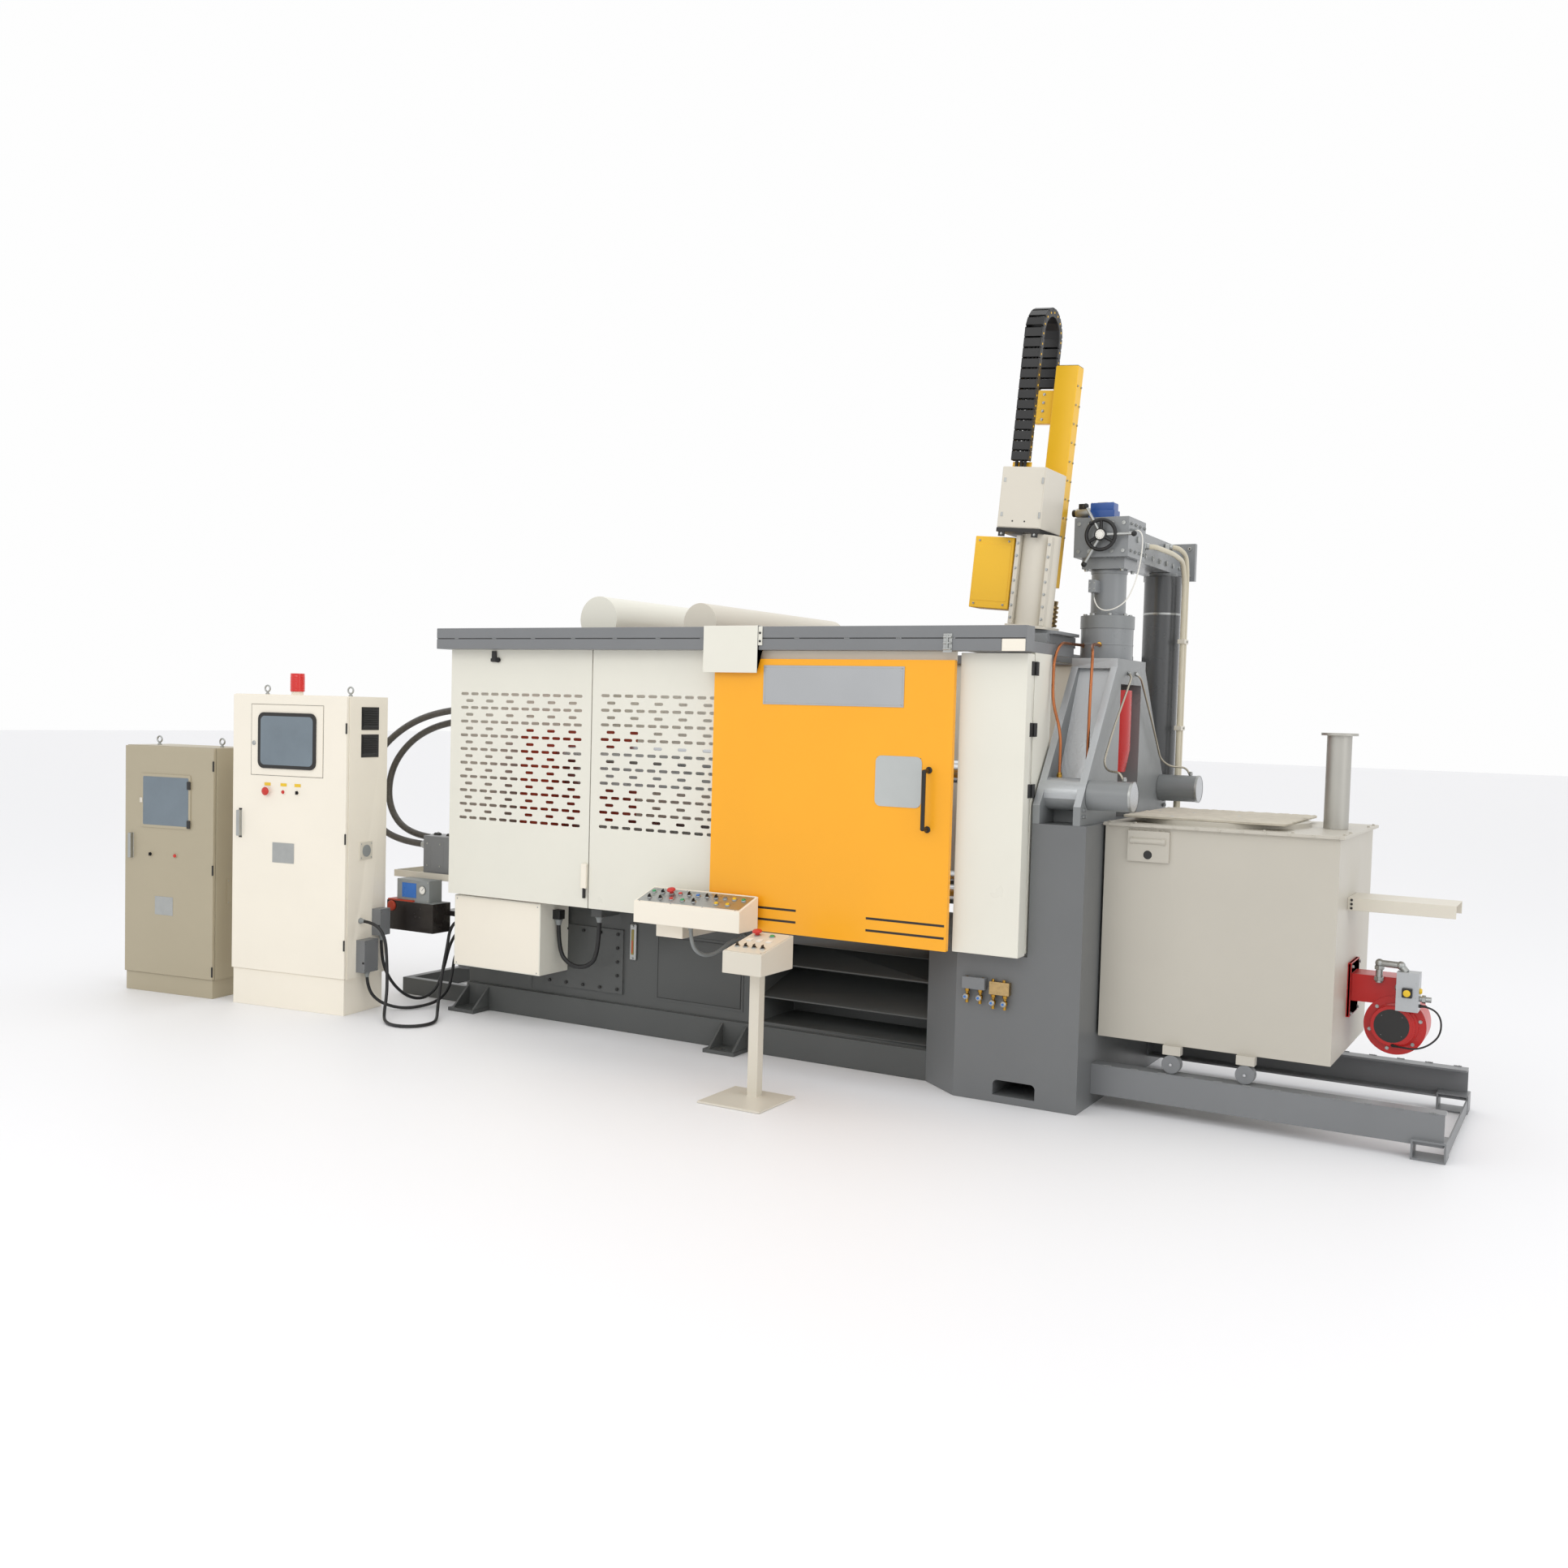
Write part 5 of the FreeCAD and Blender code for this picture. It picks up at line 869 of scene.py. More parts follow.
for index, cap in enumerate(front_row):
    if cap is None:
        continue
    key(keys, (0.060 + index * 0.066, deep * 0.30, 0.001), (0, 0, 1), cap, 0.0135,
        "selector" if cap == BLACK else "flush", desk_frame)
    block(tags, (0.044 + index * 0.066, deep * 0.42, 0.001), (0.076 + index * 0.066, deep * 0.50, 0.002),
          0.0004, 2, desk_frame)
show("desk_keys", keys, looks)
for index in range(4):
    x = 0.03 + index * (wide - 0.06) / 3
    for reach in (0.008, deep - 0.018):
        rivet(tags, (x, reach, 0.0008), (0, 0, 1), 3, desk_frame)
show("desk_legend_plate", tags, [brushed, cream_coat, zinc, bright])

# %% [markdown]
# The second hand station stands by itself on a plate, so that both hands are away from the die.

# %% pedestal
dress("pedestal", [light_coat], 0.003)
post = bmesh.new()
weld_run(post, (-1.064, -1.301, 0.011), (-1.016, -1.301, 0.011), 0.003, 0.008, 1)
weld_run(post, (-1.064, -1.249, 0.011), (-1.016, -1.249, 0.011), 0.003, 0.008, 1)
show("pedestal_weld", post, [zinc, light_coat])
case_left, case_front, case_back = -1.142, -1.420, -1.130
rise = math.atan2(0.055, case_back - case_front)
case_frame = Matrix.Translation((case_left, case_front, 0.690)) @ Matrix.Rotation(rise, 4, "X")
reach = math.hypot(0.055, case_back - case_front)
panel = bmesh.new()
block(panel, (0.006, 0.008, 0.0), (0.199, reach - 0.008, 0.0025), 0.001, 8, case_frame)
key(panel, (0.045, reach * 0.80, 0.002), (0, 0, 1), RED, 0.016, "mushroom", case_frame)
key(panel, (0.125, reach * 0.80, 0.002), (0, 0, 1), GREEN, 0.015, "flush", case_frame)
for index in range(3):
    block(panel, (0.030 + index * 0.052, reach * 0.53, 0.002), (0.056 + index * 0.052, reach * 0.62, 0.007),
          0.002, WHITE, case_frame)
for index in range(4):
    key(panel, (0.034 + index * 0.045, reach * 0.25, 0.002), (0, 0, 1), BLACK, 0.013, "selector",
        case_frame)
for x in (0.012, 0.193):
    for y in (0.016, reach - 0.016):
        rivet(panel, (x, y, 0.0022), (0, 0, 1), 0, case_frame)
block(panel, (case_left + 0.001, case_back - 0.002, 0.592), (case_left + 0.204, case_back - 0.0004, 0.744),
      0.001, 8)
show("pedestal_keys", panel, looks + [light_coat])
print("desk and pedestal done")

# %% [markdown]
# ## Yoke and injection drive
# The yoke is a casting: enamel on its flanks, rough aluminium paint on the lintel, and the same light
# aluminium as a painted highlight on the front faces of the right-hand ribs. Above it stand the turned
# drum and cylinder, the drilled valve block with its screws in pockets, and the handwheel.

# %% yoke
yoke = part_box("yoke")


def yoke_paint(middle, facing):
    """Aluminium paint on the lintel; on the front faces of the right-hand ribs the same colour is a painted
    highlight.
    """
    return int((abs(middle.y) < 0.24 and middle.z > 2.02 and middle.y < 0)
               or (middle.z > 1.42 and middle.y < -0.10 and abs(facing.x) < 0.3 and facing.y < -0.2))


# The light aluminium on the front faces of the right-hand ribs is a painted highlight.
dress("yoke", [cast_paint, silver_cast_and_highlight], 0.006, choose=yoke_paint, steps=3)
dress("shift_rams", [cast_paint, bright], 0.003, choose=lambda middle, facing: int(middle.x > 0.45))
yoke_bolts = bmesh.new()
for side in (-1, 1):
    for z in (1.335, 1.365):
        for y in (0.635, 0.665):
            bolt(yoke_bolts, (yoke[1][0] - 0.001, side * y, z + 0.01), (1, 0, 0), 0.010, 0)
    for turn in range(6):
        angle = math.radians(30 + 60 * turn)
        place = (0.270, side * 0.570 + 0.056 * math.cos(angle), 1.440 + 0.056 * math.sin(angle))
        turned(yoke_bolts, [(0, 0), (0.0075, 0), (0.0075, 0.006), (0.0055, 0.007), (0.0045, 0.007),
                            (0.0045, 0.003), (0, 0.003)], place, (1, place[1], place[2]), 1, 18)
    turned(yoke_bolts, [(0.066, 0), (0.070, 0), (0.070, 0.010), (0.066, 0.012)],
           (0.464, side * 0.570, 1.440), (1, side * 0.570, 1.440), 1, 40)
show("yoke_bolts", yoke_bolts, [cast_paint, zinc])

# %% [markdown]
# The drum carries the cylinder. Its seam, the ring of cap screws and the collars on the cylinder are
# turned or placed by angle, which keeps them even, as a drilled bolt circle is.

# %% drum, cylinder and cap
dress("injection_cylinder", [cylinder_enamel, cast_paint], 0.003,
      choose=lambda middle, facing: int(middle.z > 2.2238 and middle.z < 2.288
                                        and abs(middle.x - 0.14) < 0.14
                                        and abs(middle.y) < 0.14))
ring = bmesh.new()
turned(ring, [(0.1262, 0.068), (0.1278, 0.070), (0.1278, 0.074), (0.1262, 0.076)], (0.14, 0, 2.075),
       (0.14, 0, 9), 0, 56)
for turn in range(8):
    angle = math.radians(22.5 + 45 * turn)
    socket_screw(ring, (0.14 + 0.108 * math.cos(angle), 0.108 * math.sin(angle), 2.287), (0, 0, 1), 0.010,
                 1, 2)
for x in (-1, 1):
    for y in (-1, 1):
        bolt(ring, (0.14 + x * 0.088, y * 0.088, 2.510), (0, 0, -1), 0.011, 1)
turned(ring, [(0.084, 0), (0.088, 0.002), (0.088, 0.016), (0.084, 0.018)], (0.14, 0, 2.287), (0.14, 0, 9),
       0, 48)
turned(ring, [(0.084, 0), (0.088, 0.002), (0.088, 0.016), (0.084, 0.018)], (0.14, 0, 2.490), (0.14, 0, 9),
       0, 48)
for x in (0.092, 0.114):
    bolt(ring, (x, -0.146, 2.412), (0, -1, 0), 0.004, 1)
    bolt(ring, (x, -0.146, 2.440), (0, -1, 0), 0.004, 1)
show("cylinder_fittings", ring, [cylinder_enamel, zinc, black_coat])
dress("valve_block", [cylinder_enamel], 0.002)
pockets = bmesh.new()
for x in (0.030, 0.085, 0.195, 0.250):
    for z in (2.590, 2.722):
        turned(pockets, [(0.0105, 0.0001), (0.013, 0.0001), (0.013, 0.0012), (0.0105, 0.0012)],
               (x, -0.1498, z), (x, -1, z), 0, 20)
        turned(pockets, [(0, 0), (0.009, 0), (0.009, 0.004), (0.005, 0.004), (0.004, 0.001), (0, 0.001)],
               (x, -0.150, z), (x, -1, z), 1, 20)
for y in (-0.110, -0.040, 0.030, 0.100):
    for z in (2.592, 2.720):
        socket_screw(pockets, (0.274, y, z), (1, 0, 0), 0.008, 1, 2)
turned(pockets, [(0, 0), (0.017, 0), (0.017, 0.008), (0.012, 0.010), (0, 0.010)], (0.274, -0.005, 2.655),
       (1, -0.005, 2.655), 1, 6)
for y in (0.215, 0.340, 0.465, 0.590, 0.715, 0.840):
    turned(pockets, [(0, 0), (0.014, 0), (0.014, 0.007), (0.010, 0.009), (0, 0.009)], (0.250, y, 2.600),
           (1, y, 2.600), 1, 6)
    socket_screw(pockets, (0.155, y, 2.712), (0, 0, 1), 0.008, 1, 2)
for x in (0.070, 0.286):
    for z in (2.565, 2.709):
        socket_screw(pockets, (x, 0.916, z), (0, -1, 0), 0.010, 1, 2)
        turned(pockets, [(0, -0.004), (0.009, -0.004), (0.009, -0.0005), (0, -0.0003)], (x, 0.950, z),
               (x, 9, z), 1, 16)
show("valve_block_screws", pockets, [cylinder_enamel, zinc, black_coat])

# %% [markdown]
# The bottle holds nitrogen under pressure and gives the shot its speed. It is a smooth forging, so
# only its band, the valve below and the collar's bolts are added.

# %% accumulator with its collar and gas valve
dress("accumulator", [dark_enamel, cylinder_enamel], 0.003,
      choose=lambda middle, facing: int(middle.z > 2.5435))
bottle = bmesh.new()
turned(bottle, [(0.0958, 0), (0.0968, 0.002), (0.0968, 0.010), (0.0958, 0.012)], (0.20, 0.73, 2.34),
       (0.20, 0.73, 9), 0, 48)
turned(bottle, [(0, 0), (0.022, 0), (0.022, 0.010), (0.012, 0.014), (0.012, 0.026), (0, 0.026)],
       (0.20, 0.73, 1.494), (0.20, 0.73, 0), 1, 24)
for turn in range(6):
    angle = math.radians(60 * turn)
    bolt(bottle, (0.20 + 0.055 * math.cos(angle), 0.73 + 0.055 * math.sin(angle), 2.5435), (0, 0, -1),
         0.004, 1)
show("accumulator_bands", bottle, [zinc, brass])

# %% [markdown]
# A cast body on a ground block, with a solenoid can at one end and a plug for its lead on top.

# %% directional valve
spool = bmesh.new()
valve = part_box("blue_valve")
block(spool, (0.060, -0.110, 2.752), (0.188, -0.020, 2.792), 0.003, 0)
block(spool, (0.066, -0.104, 2.790), (0.182, -0.026, 2.828), 0.005, 0)
block(spool, (0.100, -0.098, 2.827), (0.150, -0.032, valve[1][2]), 0.001, 1)
for x in (0.072, 0.176):
    for y in (-0.098, -0.032):
        socket_screw(spool, (x, y, 2.826), (0, 0, 1), 0.003, 2, 3)
turned(spool, [(0, 0), (0.022, 0), (0.0225, 0.003), (0.0225, 0.010), (0.024, 0.012), (0.024, 0.070),
               (0.021, 0.074),
               (0.021, 0.078), (0, 0.078)], (0.062, -0.065, 2.786), (-1, -0.065, 2.786), 2, 36)
turned(spool, [(0, 0.074), (0.015, 0.076), (0.018, 0.080), (0.018, 0.092), (0.015, 0.096), (0, 0.0965)],
       (0.062, -0.065, 2.786), (-1, -0.065, 2.786), 3, 24)
block(spool, (0.000, -0.083, 2.802), (0.040, -0.047, valve[1][2] - 0.0005), 0.003, 3)
show("directional_valve", spool, [blue_coat, light_coat, zinc, black_plastic], stands_for=("blue_valve",))

# %% [markdown]
# The rim is a circle spun round the wheel's axis, the spokes taper outwards and the hub has a plain
# dial with ticks. A separate crank handle stands off the rim. Behind it is a star wheel with balls.

# %% handwheel
wheel = bmesh.new()
wx, wz = 0.150, 2.664
wy = -0.184
rim = [(0.071 + 0.009 * math.cos(math.radians(30 * turn)), 0.009 * math.sin(math.radians(30 * turn)))
       for turn in range(13)]
turned(wheel, rim, (wx, wy, wz), (wx, -1, wz), 0, 56)
for turn in range(3):
    angle = math.radians(90 + 120 * turn)
    outer = (wx + 0.066 * math.cos(angle), wy, wz + 0.066 * math.sin(angle))
    bar(wheel, (wx, wy, wz), outer, 0.011, paint=0, sides=16, tip=0.007)
turned(wheel, [(0, -0.028), (0.016, -0.028), (0.016, -0.006), (0.028, -0.002), (0.030, 0.010),
               (0.026, 0.014), (0, 0.014)], (wx, wy, wz), (wx, -1, wz), 0, 36)
turned(wheel, [(0, 0.014), (0.023, 0.014), (0.022, 0.017), (0, 0.018)], (wx, wy, wz), (wx, -1, wz), 1, 32)
for tick in range(12):
    angle = math.radians(30 * tick)
    turn_in = Matrix.Translation((wx, wy - 0.0178, wz)) @ Matrix.Rotation(angle, 4, "Y")
    block(wheel, (0.015, -0.0006, -0.0006), (0.020, 0.0006, 0.0006), 0, 2, turn_in)
turned(wheel, [(0, 0), (0.006, 0), (0.009, 0.006), (0.009, 0.016), (0.006, 0.021), (0, 0.022)],
       (wx - 0.045, wy - 0.006, wz + 0.054), (wx - 0.045, -1, wz + 0.054), 0, 20)
show("dial_handwheel", wheel, [black_plastic, gauge_white, cap_looks["black"]], "wheel", ("handwheel",))
star = bmesh.new()
for turn in range(3):
    angle = math.radians(120 * turn)
    tip = (wx + 0.160 * math.cos(angle), -0.180, wz + 0.160 * math.sin(angle))
    bar(star, (wx, -0.180, wz), tip, 0.009, paint=0, sides=16, tip=0.007)
    ball = bmesh.new()
    bmesh.ops.create_uvsphere(ball, u_segments=20, v_segments=12, radius=0.0135)
    lay(star, ball, Matrix.Translation(tip), 1)
turned(star, [(0, 0), (0.018, 0), (0.018, 0.026), (0.014, 0.028), (0, 0.028)], (wx, -0.1555, wz),
       (wx, -1, wz), 0, 28)
show("star_wheel", star, [zinc, black_plastic], "wheel")
dress("plunger", [red_coat, bright], 0.004, "plunger_unit",
      choose=lambda middle, facing: int(math.hypot(middle.x - 0.14, middle.y) < 0.035))
print("injection done")

# %% [markdown]
# ## Spray robot
# A leaning column carries a box, an arm that slides up and down, and an energy chain. The chain is
# links on pins, so it is built link by link along the line that the real one follows.
#
# Everything on the robot leans with its column, so the parts are made upright in the robot's own
# frame and carried over by one matrix. Measuring along a leaning part would be slower and less exact.

# %% column, box and arm
lean = Matrix.Translation((-0.115, -0.360, 2.206)) @ Matrix.Rotation(math.atan(0.08), 4, "Y")
dress("sprayer_base", [cylinder_enamel], 0.003)
dress("spray_column", [black_coat, light_coat], 0.003,
      choose=lambda middle, facing: int((lean.inverted() @ middle).z < 0.438))
dress("spray_box", [light_coat], 0.005)
dress("side_box", [robot_yellow], 0.004)
dress("spray_arm", [robot_yellow], 0.004)
robot = bmesh.new()
for edge in (-1, 1):
    block(robot, (edge * 0.078 - 0.010, -0.098, 0.015), (edge * 0.078 + 0.010, -0.060, 0.430), 0.002, 0,
          lean)
    for index in range(7):
        bolt(robot, (edge * 0.078, -0.098, 0.045 + index * 0.058), (0, -1, 0), 0.007, 1, lean)
block(robot, (-0.100, -0.100, 0.0), (0.100, 0.100, 0.014), 0.002, 0, lean)
show("column_flanges", robot, [light_coat, zinc])
lid = bmesh.new()
block(lid, (-0.172, -0.1425, 0.463), (0.034, -0.1395, 0.738), 0.0015, 0, lean)
for z in (0.52, 0.68):
    bar(lid, (0.030, -0.1445, z - 0.014), (0.030, -0.1445, z + 0.014), 0.005, 0.001, 1, 14, where=lean)
    block(lid, (-0.163, -0.1438, z - 0.010), (-0.151, -0.142, z + 0.010), 0.001, 1, lean)
for x in (-0.10, -0.04):
    turned(lid, [(0, 0), (0.004, 0), (0.004, 0.001), (0, 0.001)], (x, -0.1425, 0.49), (x, -1, 0.49), 2, 14,
           lean)
show("robot_box_lid", lid, [light_coat, zinc, black_coat])
shelf = bmesh.new()
for x in (-0.150, 0.014):
    block(shelf, (x - 0.016, -0.139, 0.418), (x + 0.016, -0.133, 0.459), 0.001, 0, lean)
    bolt(shelf, (x, -0.139, 0.430), (0, -1, 0), 0.006, 1, lean)
show("shelf_tabs", shelf, [black_coat, zinc])
mast = bmesh.new()
for index in range(9):
    z = 0.46 + index * 0.09
    for y in (0.196, 0.244):
        socket_screw(mast, (0.022, y, z), (1, 0, 0), 0.005, 1, 2, lean)
for z in (0.30, 0.36):
    for x in (-0.070, 0.0):
        bolt(mast, (x, 0.080, z), (0, -1, 0), 0.008, 1, lean)
for z in (1.02, 1.06, 1.10, 1.14):
    bolt(mast, (-0.140, 0.194, z), (0, -1, 0), 0.007, 1, lean)
block(mast, (-0.088, 0.182, 1.2745), (0.020, 0.258, 1.277), 0.001, 2, lean)
for x in (-0.28, -0.13):
    for z in (0.10, 0.40):
        socket_screw(mast, (x, -0.075, z), (0, -1, 0), 0.005, 1, 2, lean)
block(mast, (-0.292, -0.0765, 0.115), (-0.116, -0.0748, 0.385), 0.001, 0, lean)
show("arm_screws", mast, [robot_yellow, zinc, black_coat])

# %% [markdown]
# The head is turned from one outline round a stem; each rib is four more points of that outline.

# %% spray head: a ribbed bronze body on a silver stem
nozzle = bmesh.new()
ribs = [(0, 0)]
for index in range(5):
    z = index * 0.022
    ribs += [(0.058, z + 0.002), (0.064, z + 0.004), (0.064, z + 0.014), (0.056, z + 0.017),
             (0.056, z + 0.020)]
ribs += [(0.058, 0.112), (0.060, 0.128), (0.040, 0.130), (0, 0.130)]
hx, hy = -0.024, 0.220
turned(nozzle, ribs, (hx, hy, 0.022), (hx, hy, 1), 0, 44, lean)
turned(nozzle, [(0, 0), (0.030, 0), (0.030, 0.012), (0.018, 0.016), (0.018, 0.063), (0, 0.063)],
       (hx, hy, 0.152), (hx, hy, 1), 1, 28, lean)
for turn in range(6):
    angle = math.radians(60 * turn)
    x, y = hx + 0.043 * math.cos(angle), hy + 0.043 * math.sin(angle)
    bar(nozzle, (x, y, 0.022), (x, y, 0.0205), 0.008, paint=1, sides=12, where=lean)
block(nozzle, (hx - 0.014, hy - 0.062, 0.128), (hx + 0.014, hy - 0.030, 0.170), 0.003, 2, lean)
show("ribbed_spray_head", nozzle, [bronze, zinc, cap_looks["green"]], stands_for=("spray_head",))

# %% [markdown]
# Each link is two rounded side plates, a pin on each and two bars across. The bend is eight steps of
# 22.5 degrees, because that arc (46 mm) is close to the pitch of the links (48 mm).

# %% energy chain, link by link
chain = bmesh.new()
line = []
for index in range(13):
    line.append((Vector((-0.139, -0.020, 0.809 + index * 0.048)), 0))
for turn in range(1, 9):
    angle = math.radians(180 - 22.5 * turn)
    line.append((Vector((-0.139, 0.098 + 0.118 * math.cos(angle), 1.385 + 0.118 * math.sin(angle))),
                 22.5 * turn))
for index in range(1, 5):
    line.append((Vector((-0.139, 0.216, 1.385 - index * 0.048)), 180))
for place, turn in line:
    pose = lean @ Matrix.Translation(place) @ Matrix.Rotation(math.radians(-turn), 4, "X")
    for edge in (-1, 1):
        block(chain, (edge * 0.0405 - 0.0035, -0.021, -0.0225), (edge * 0.0405 + 0.0035, 0.021, 0.0245),
              0.007, 0, pose, 3)
        bar(chain, (edge * 0.037, 0, 0.0205), (edge * 0.0448, 0, 0.0205), 0.011, 0.001, 0, 16, where=pose)
    block(chain, (-0.040, -0.0208, -0.020), (0.040, -0.017, 0.020), 0.002, 0, pose)
    block(chain, (-0.040, 0.017, -0.020), (0.040, 0.0208, 0.020), 0.002, 0, pose)
    bar(chain, (0.0442, 0, -0.004), (0.0452, 0, -0.004), 0.005, paint=1, sides=10, where=pose)
for x in (-0.020, 0.004, 0.022):
    bar(chain, (-0.139 + x, -0.020, 0.745), (-0.139 + x, -0.020, 1.36), 0.008, paint=2, sides=12,
        where=lean)
block(chain, (-0.187, -0.046, 0.7435), (-0.091, 0.007, 0.752), 0.002, 1, lean)
block(chain, (-0.187, 0.0, 0.745), (-0.091, 0.006, 0.785), 0.002, 1, lean)
show("energy_chain", chain, [black_plastic, robot_yellow, rubber, zinc], stands_for=("drag_chain",))
print("robot done, chain links", len(line))

# %% [markdown]
# ## Furnace and burner
# A lined steel box on four wheels. Its crucible sits in the collar under a rough lid, crusted where
# metal has splashed, and the flue stands at the back. The burner is a cast fan with a flange, a disc
# cover and a gas valve.

# %% furnace
dress("furnace_body", [furnace_coat], 0.006, "furnace", steps=3)
dress("furnace_top_plate", [furnace_coat], 0.002, "furnace")
dress("cable_arm", [light_coat], 0.003, "furnace")
dress("flue_pipe", [flue_steel], 0.0015, "furnace")
studs = bmesh.new()
for index in range(11):
    x = 0.335 + index * 0.0995
    bolt(studs, (x, -0.4725, 1.309), (0, -1, 0), 0.006, 0)
for y in (-0.40, -0.25, 0.25, 0.40):
    bolt(studs, (1.345, y, 1.3155), (0, 0, 1), 0.008, 0)
for x in (0.33, 0.45, 1.02, 1.14):
    for y in (-0.45, 0.45):
        bolt(studs, (x, y, 1.3155), (0, 0, 1), 0.008, 0)
for z in (0.984, 1.002, 1.020):
    turned(studs, [(0, 0), (0.006, 0), (0.005, 0.004), (0, 0.005)], (1.354, -0.200, z), (1.354, -1, z), 1,
           16)
show("furnace_studs", studs, [furnace_coat, black_coat], "furnace")
lug = bmesh.new()
block(lug, (0.4205, -0.4678, 1.1455), (0.6115, -0.4505, 1.2865), 0.004, 0)
turned(lug, [(0.020, 0.0002), (0.025, 0.0002), (0.025, 0.0014), (0.020, 0.0014)], (0.516, -0.4676, 1.178),
       (0.516, -1, 1.178), 0, 28)
turned(lug, [(0, 0.0), (0.020, 0.0), (0.020, 0.0006), (0, 0.0006)], (0.516, -0.4676, 1.178),
       (0.516, -1, 1.178), 1, 28)
bar(lug, (0.441, -0.4655, 1.240), (0.591, -0.4655, 1.240), 0.014, 0.002, 0, 24)
for x in (0.436, 0.580):
    turned(lug, [(0, 0), (0.016, 0), (0.016, 0.014), (0.012, 0.016), (0, 0.016)], (x, -0.4645, 1.240),
           (x + 1, -0.4645, 1.240), 0, 24)
weld_run(lug, (0.423, -0.4525, 1.288), (0.609, -0.4525, 1.288), 0.004, 0.012, 0)
show("tap_hole_lug", lug, [furnace_coat, black_coat], "furnace")

# %% [markdown]
# Dross and splashed metal make the lid rough. A grid with seeded heights gives a skin with no
# pattern, and scattered flat lumps are the larger splashes.

# %% crusted lid


def crust(mesh, low, high, cells, lift, seed, paint):
    """A splashed skin: a grid with rough heights, sunk at its edges."""
    chance = random.Random(seed)
    shape = bmesh.new()
    middle = (Vector(low) + Vector(high)) / 2
    span = Vector(high) - Vector(low)
    bmesh.ops.create_grid(shape, x_segments=cells, y_segments=cells, size=0.5,
                          matrix=Matrix.Translation(middle) @ Matrix.Diagonal((span.x, span.y, 1, 1)))
    for corner in shape.verts:
        across = abs((corner.co.x - middle.x) / span.x * 2)
        down = abs((corner.co.y - middle.y) / span.y * 2)
        edge = max(across, down)
        if edge < 0.98:
            corner.co.z += lift * chance.uniform(0.2, 1.0)
            corner.co.x += span.x / cells * chance.uniform(-0.3, 0.3)
            corner.co.y += span.y / cells * chance.uniform(-0.3, 0.3)
        else:
            outward = 1 if corner.co.x > middle.x else -1
            corner.co.x += span.x / cells * chance.uniform(-0.9, 0.0) * outward
            corner.co.z -= 0.001
    lay(mesh, shape, None, paint)


skin = bmesh.new()
block(skin, (0.372, -0.380, 1.338), (1.092, 0.375, 1.3485), 0.003, 0)
crust(skin, (0.364, -0.382, 1.3478), (1.100, 0.377, 1.3478), 46, 0.0055, 7, 0)
for index in range(26):
    chunk = bmesh.new()
    bmesh.ops.create_icosphere(chunk, subdivisions=2, radius=1)
    for corner in chunk.verts:
        corner.co *= random.uniform(0.75, 1.1)
    place = Matrix.Translation((random.uniform(0.40, 1.06), random.uniform(-0.35, 0.34), 1.346))
    lay(skin, chunk, place @ Matrix.Diagonal((random.uniform(0.010, 0.045), random.uniform(0.010, 0.035),
                                              0.0062, 1)),
        random.randint(0, 1))
show("crusted_lid", skin, [fibre, silver_cast_and_highlight], "furnace", ("furnace_lid",), crease=70)

# %% [markdown]
# Flat steel wheels run on the rails, each on a bolt.

# %% wheels
wheels = bmesh.new()
for x in (0.662, 0.987):
    for y in (-0.459, 0.459):
        out = -1 if y < 0 else 1
        turned(wheels, [(0, 0), (0.036, 0), (0.0415, 0.003), (0.0415, 0.034), (0.036, 0.037), (0, 0.037)],
               (x, y - out * 0.020, 0.242), (x, y + out, 0.242), 0, 40)
        turned(wheels, [(0, 0.037), (0.014, 0.037), (0.014, 0.040), (0, 0.042)],
               (x, y - out * 0.020, 0.242), (x, y + out, 0.242), 1, 24)
        bolt(wheels, (x, y + out * 0.0205, 0.242), (0, out, 0), 0.009, 1)
show("furnace_wheels", wheels, [zinc, bright], "furnace")
dress("furnace_rollers", [rail_enamel], 0.002, "furnace")

# %% [markdown]
# A fan in a round case blows through a flanged neck. The case is one outline spun round its axis;
# the motor's ribs are thin blades set by angle.

# %% burner
fan = bmesh.new()
block(fan, (1.337, -0.110, 0.483), (1.353, 0.110, 0.727), 0.004, 0)
block(fan, (1.352, -0.094, 0.559), (1.420, 0.054, 0.679), 0.012, 0)
for y in (-0.095, 0.095):
    for z in (0.500, 0.710):
        bolt(fan, (1.353, y, z), (1, 0, 0), 0.009, 1)
bar(fan, (1.400, -0.020, 0.619), (1.542, -0.020, 0.619), 0.060, 0.004, 0, 40)
block(fan, (1.420, -0.094, 0.560), (1.542, 0.054, 0.600), 0.010, 0)
turned(fan, [(0, 0), (0.122, 0), (0.130, 0.006), (0.130, 0.022), (0.124, 0.028), (0.124, 0.136),
             (0.130, 0.142),
             (0.130, 0.160), (0.122, 0.168), (0, 0.170)], (1.542, 0.070, 0.470), (1.542, -1, 0.470), 0, 64)
turned(fan, [(0.086, 0.168), (0.098, 0.170), (0.098, 0.176), (0.088, 0.180), (0.088, 0.196), (0, 0.196)],
       (1.542, 0.070, 0.470), (1.542, -1, 0.470), 0, 56)
turned(fan, [(0, 0.1945), (0.074, 0.1945), (0.074, 0.198), (0, 0.1985)], (1.532, 0.070, 0.470),
       (1.532, -1, 0.470), 2, 48)
for turn in range(6):
    angle = math.radians(15 + 60 * turn)
    bolt(fan, (1.542 + 0.108 * math.cos(angle), -0.0995, 0.470 + 0.108 * math.sin(angle)), (0, -1, 0),
         0.008, 1)
for turn in range(4):
    angle = math.radians(45 + 90 * turn)
    socket_screw(fan, (1.532 + 0.060 * math.cos(angle), -0.1275, 0.470 + 0.060 * math.sin(angle)),
                 (0, -1, 0), 0.0015, 1, 2)
turned(fan, [(0, 0), (0.060, 0), (0.070, 0.004), (0.070, 0.110), (0.064, 0.126), (0, 0.128)],
       (1.542, 0.070, 0.470), (1.542, 1, 0.470), 3, 48)
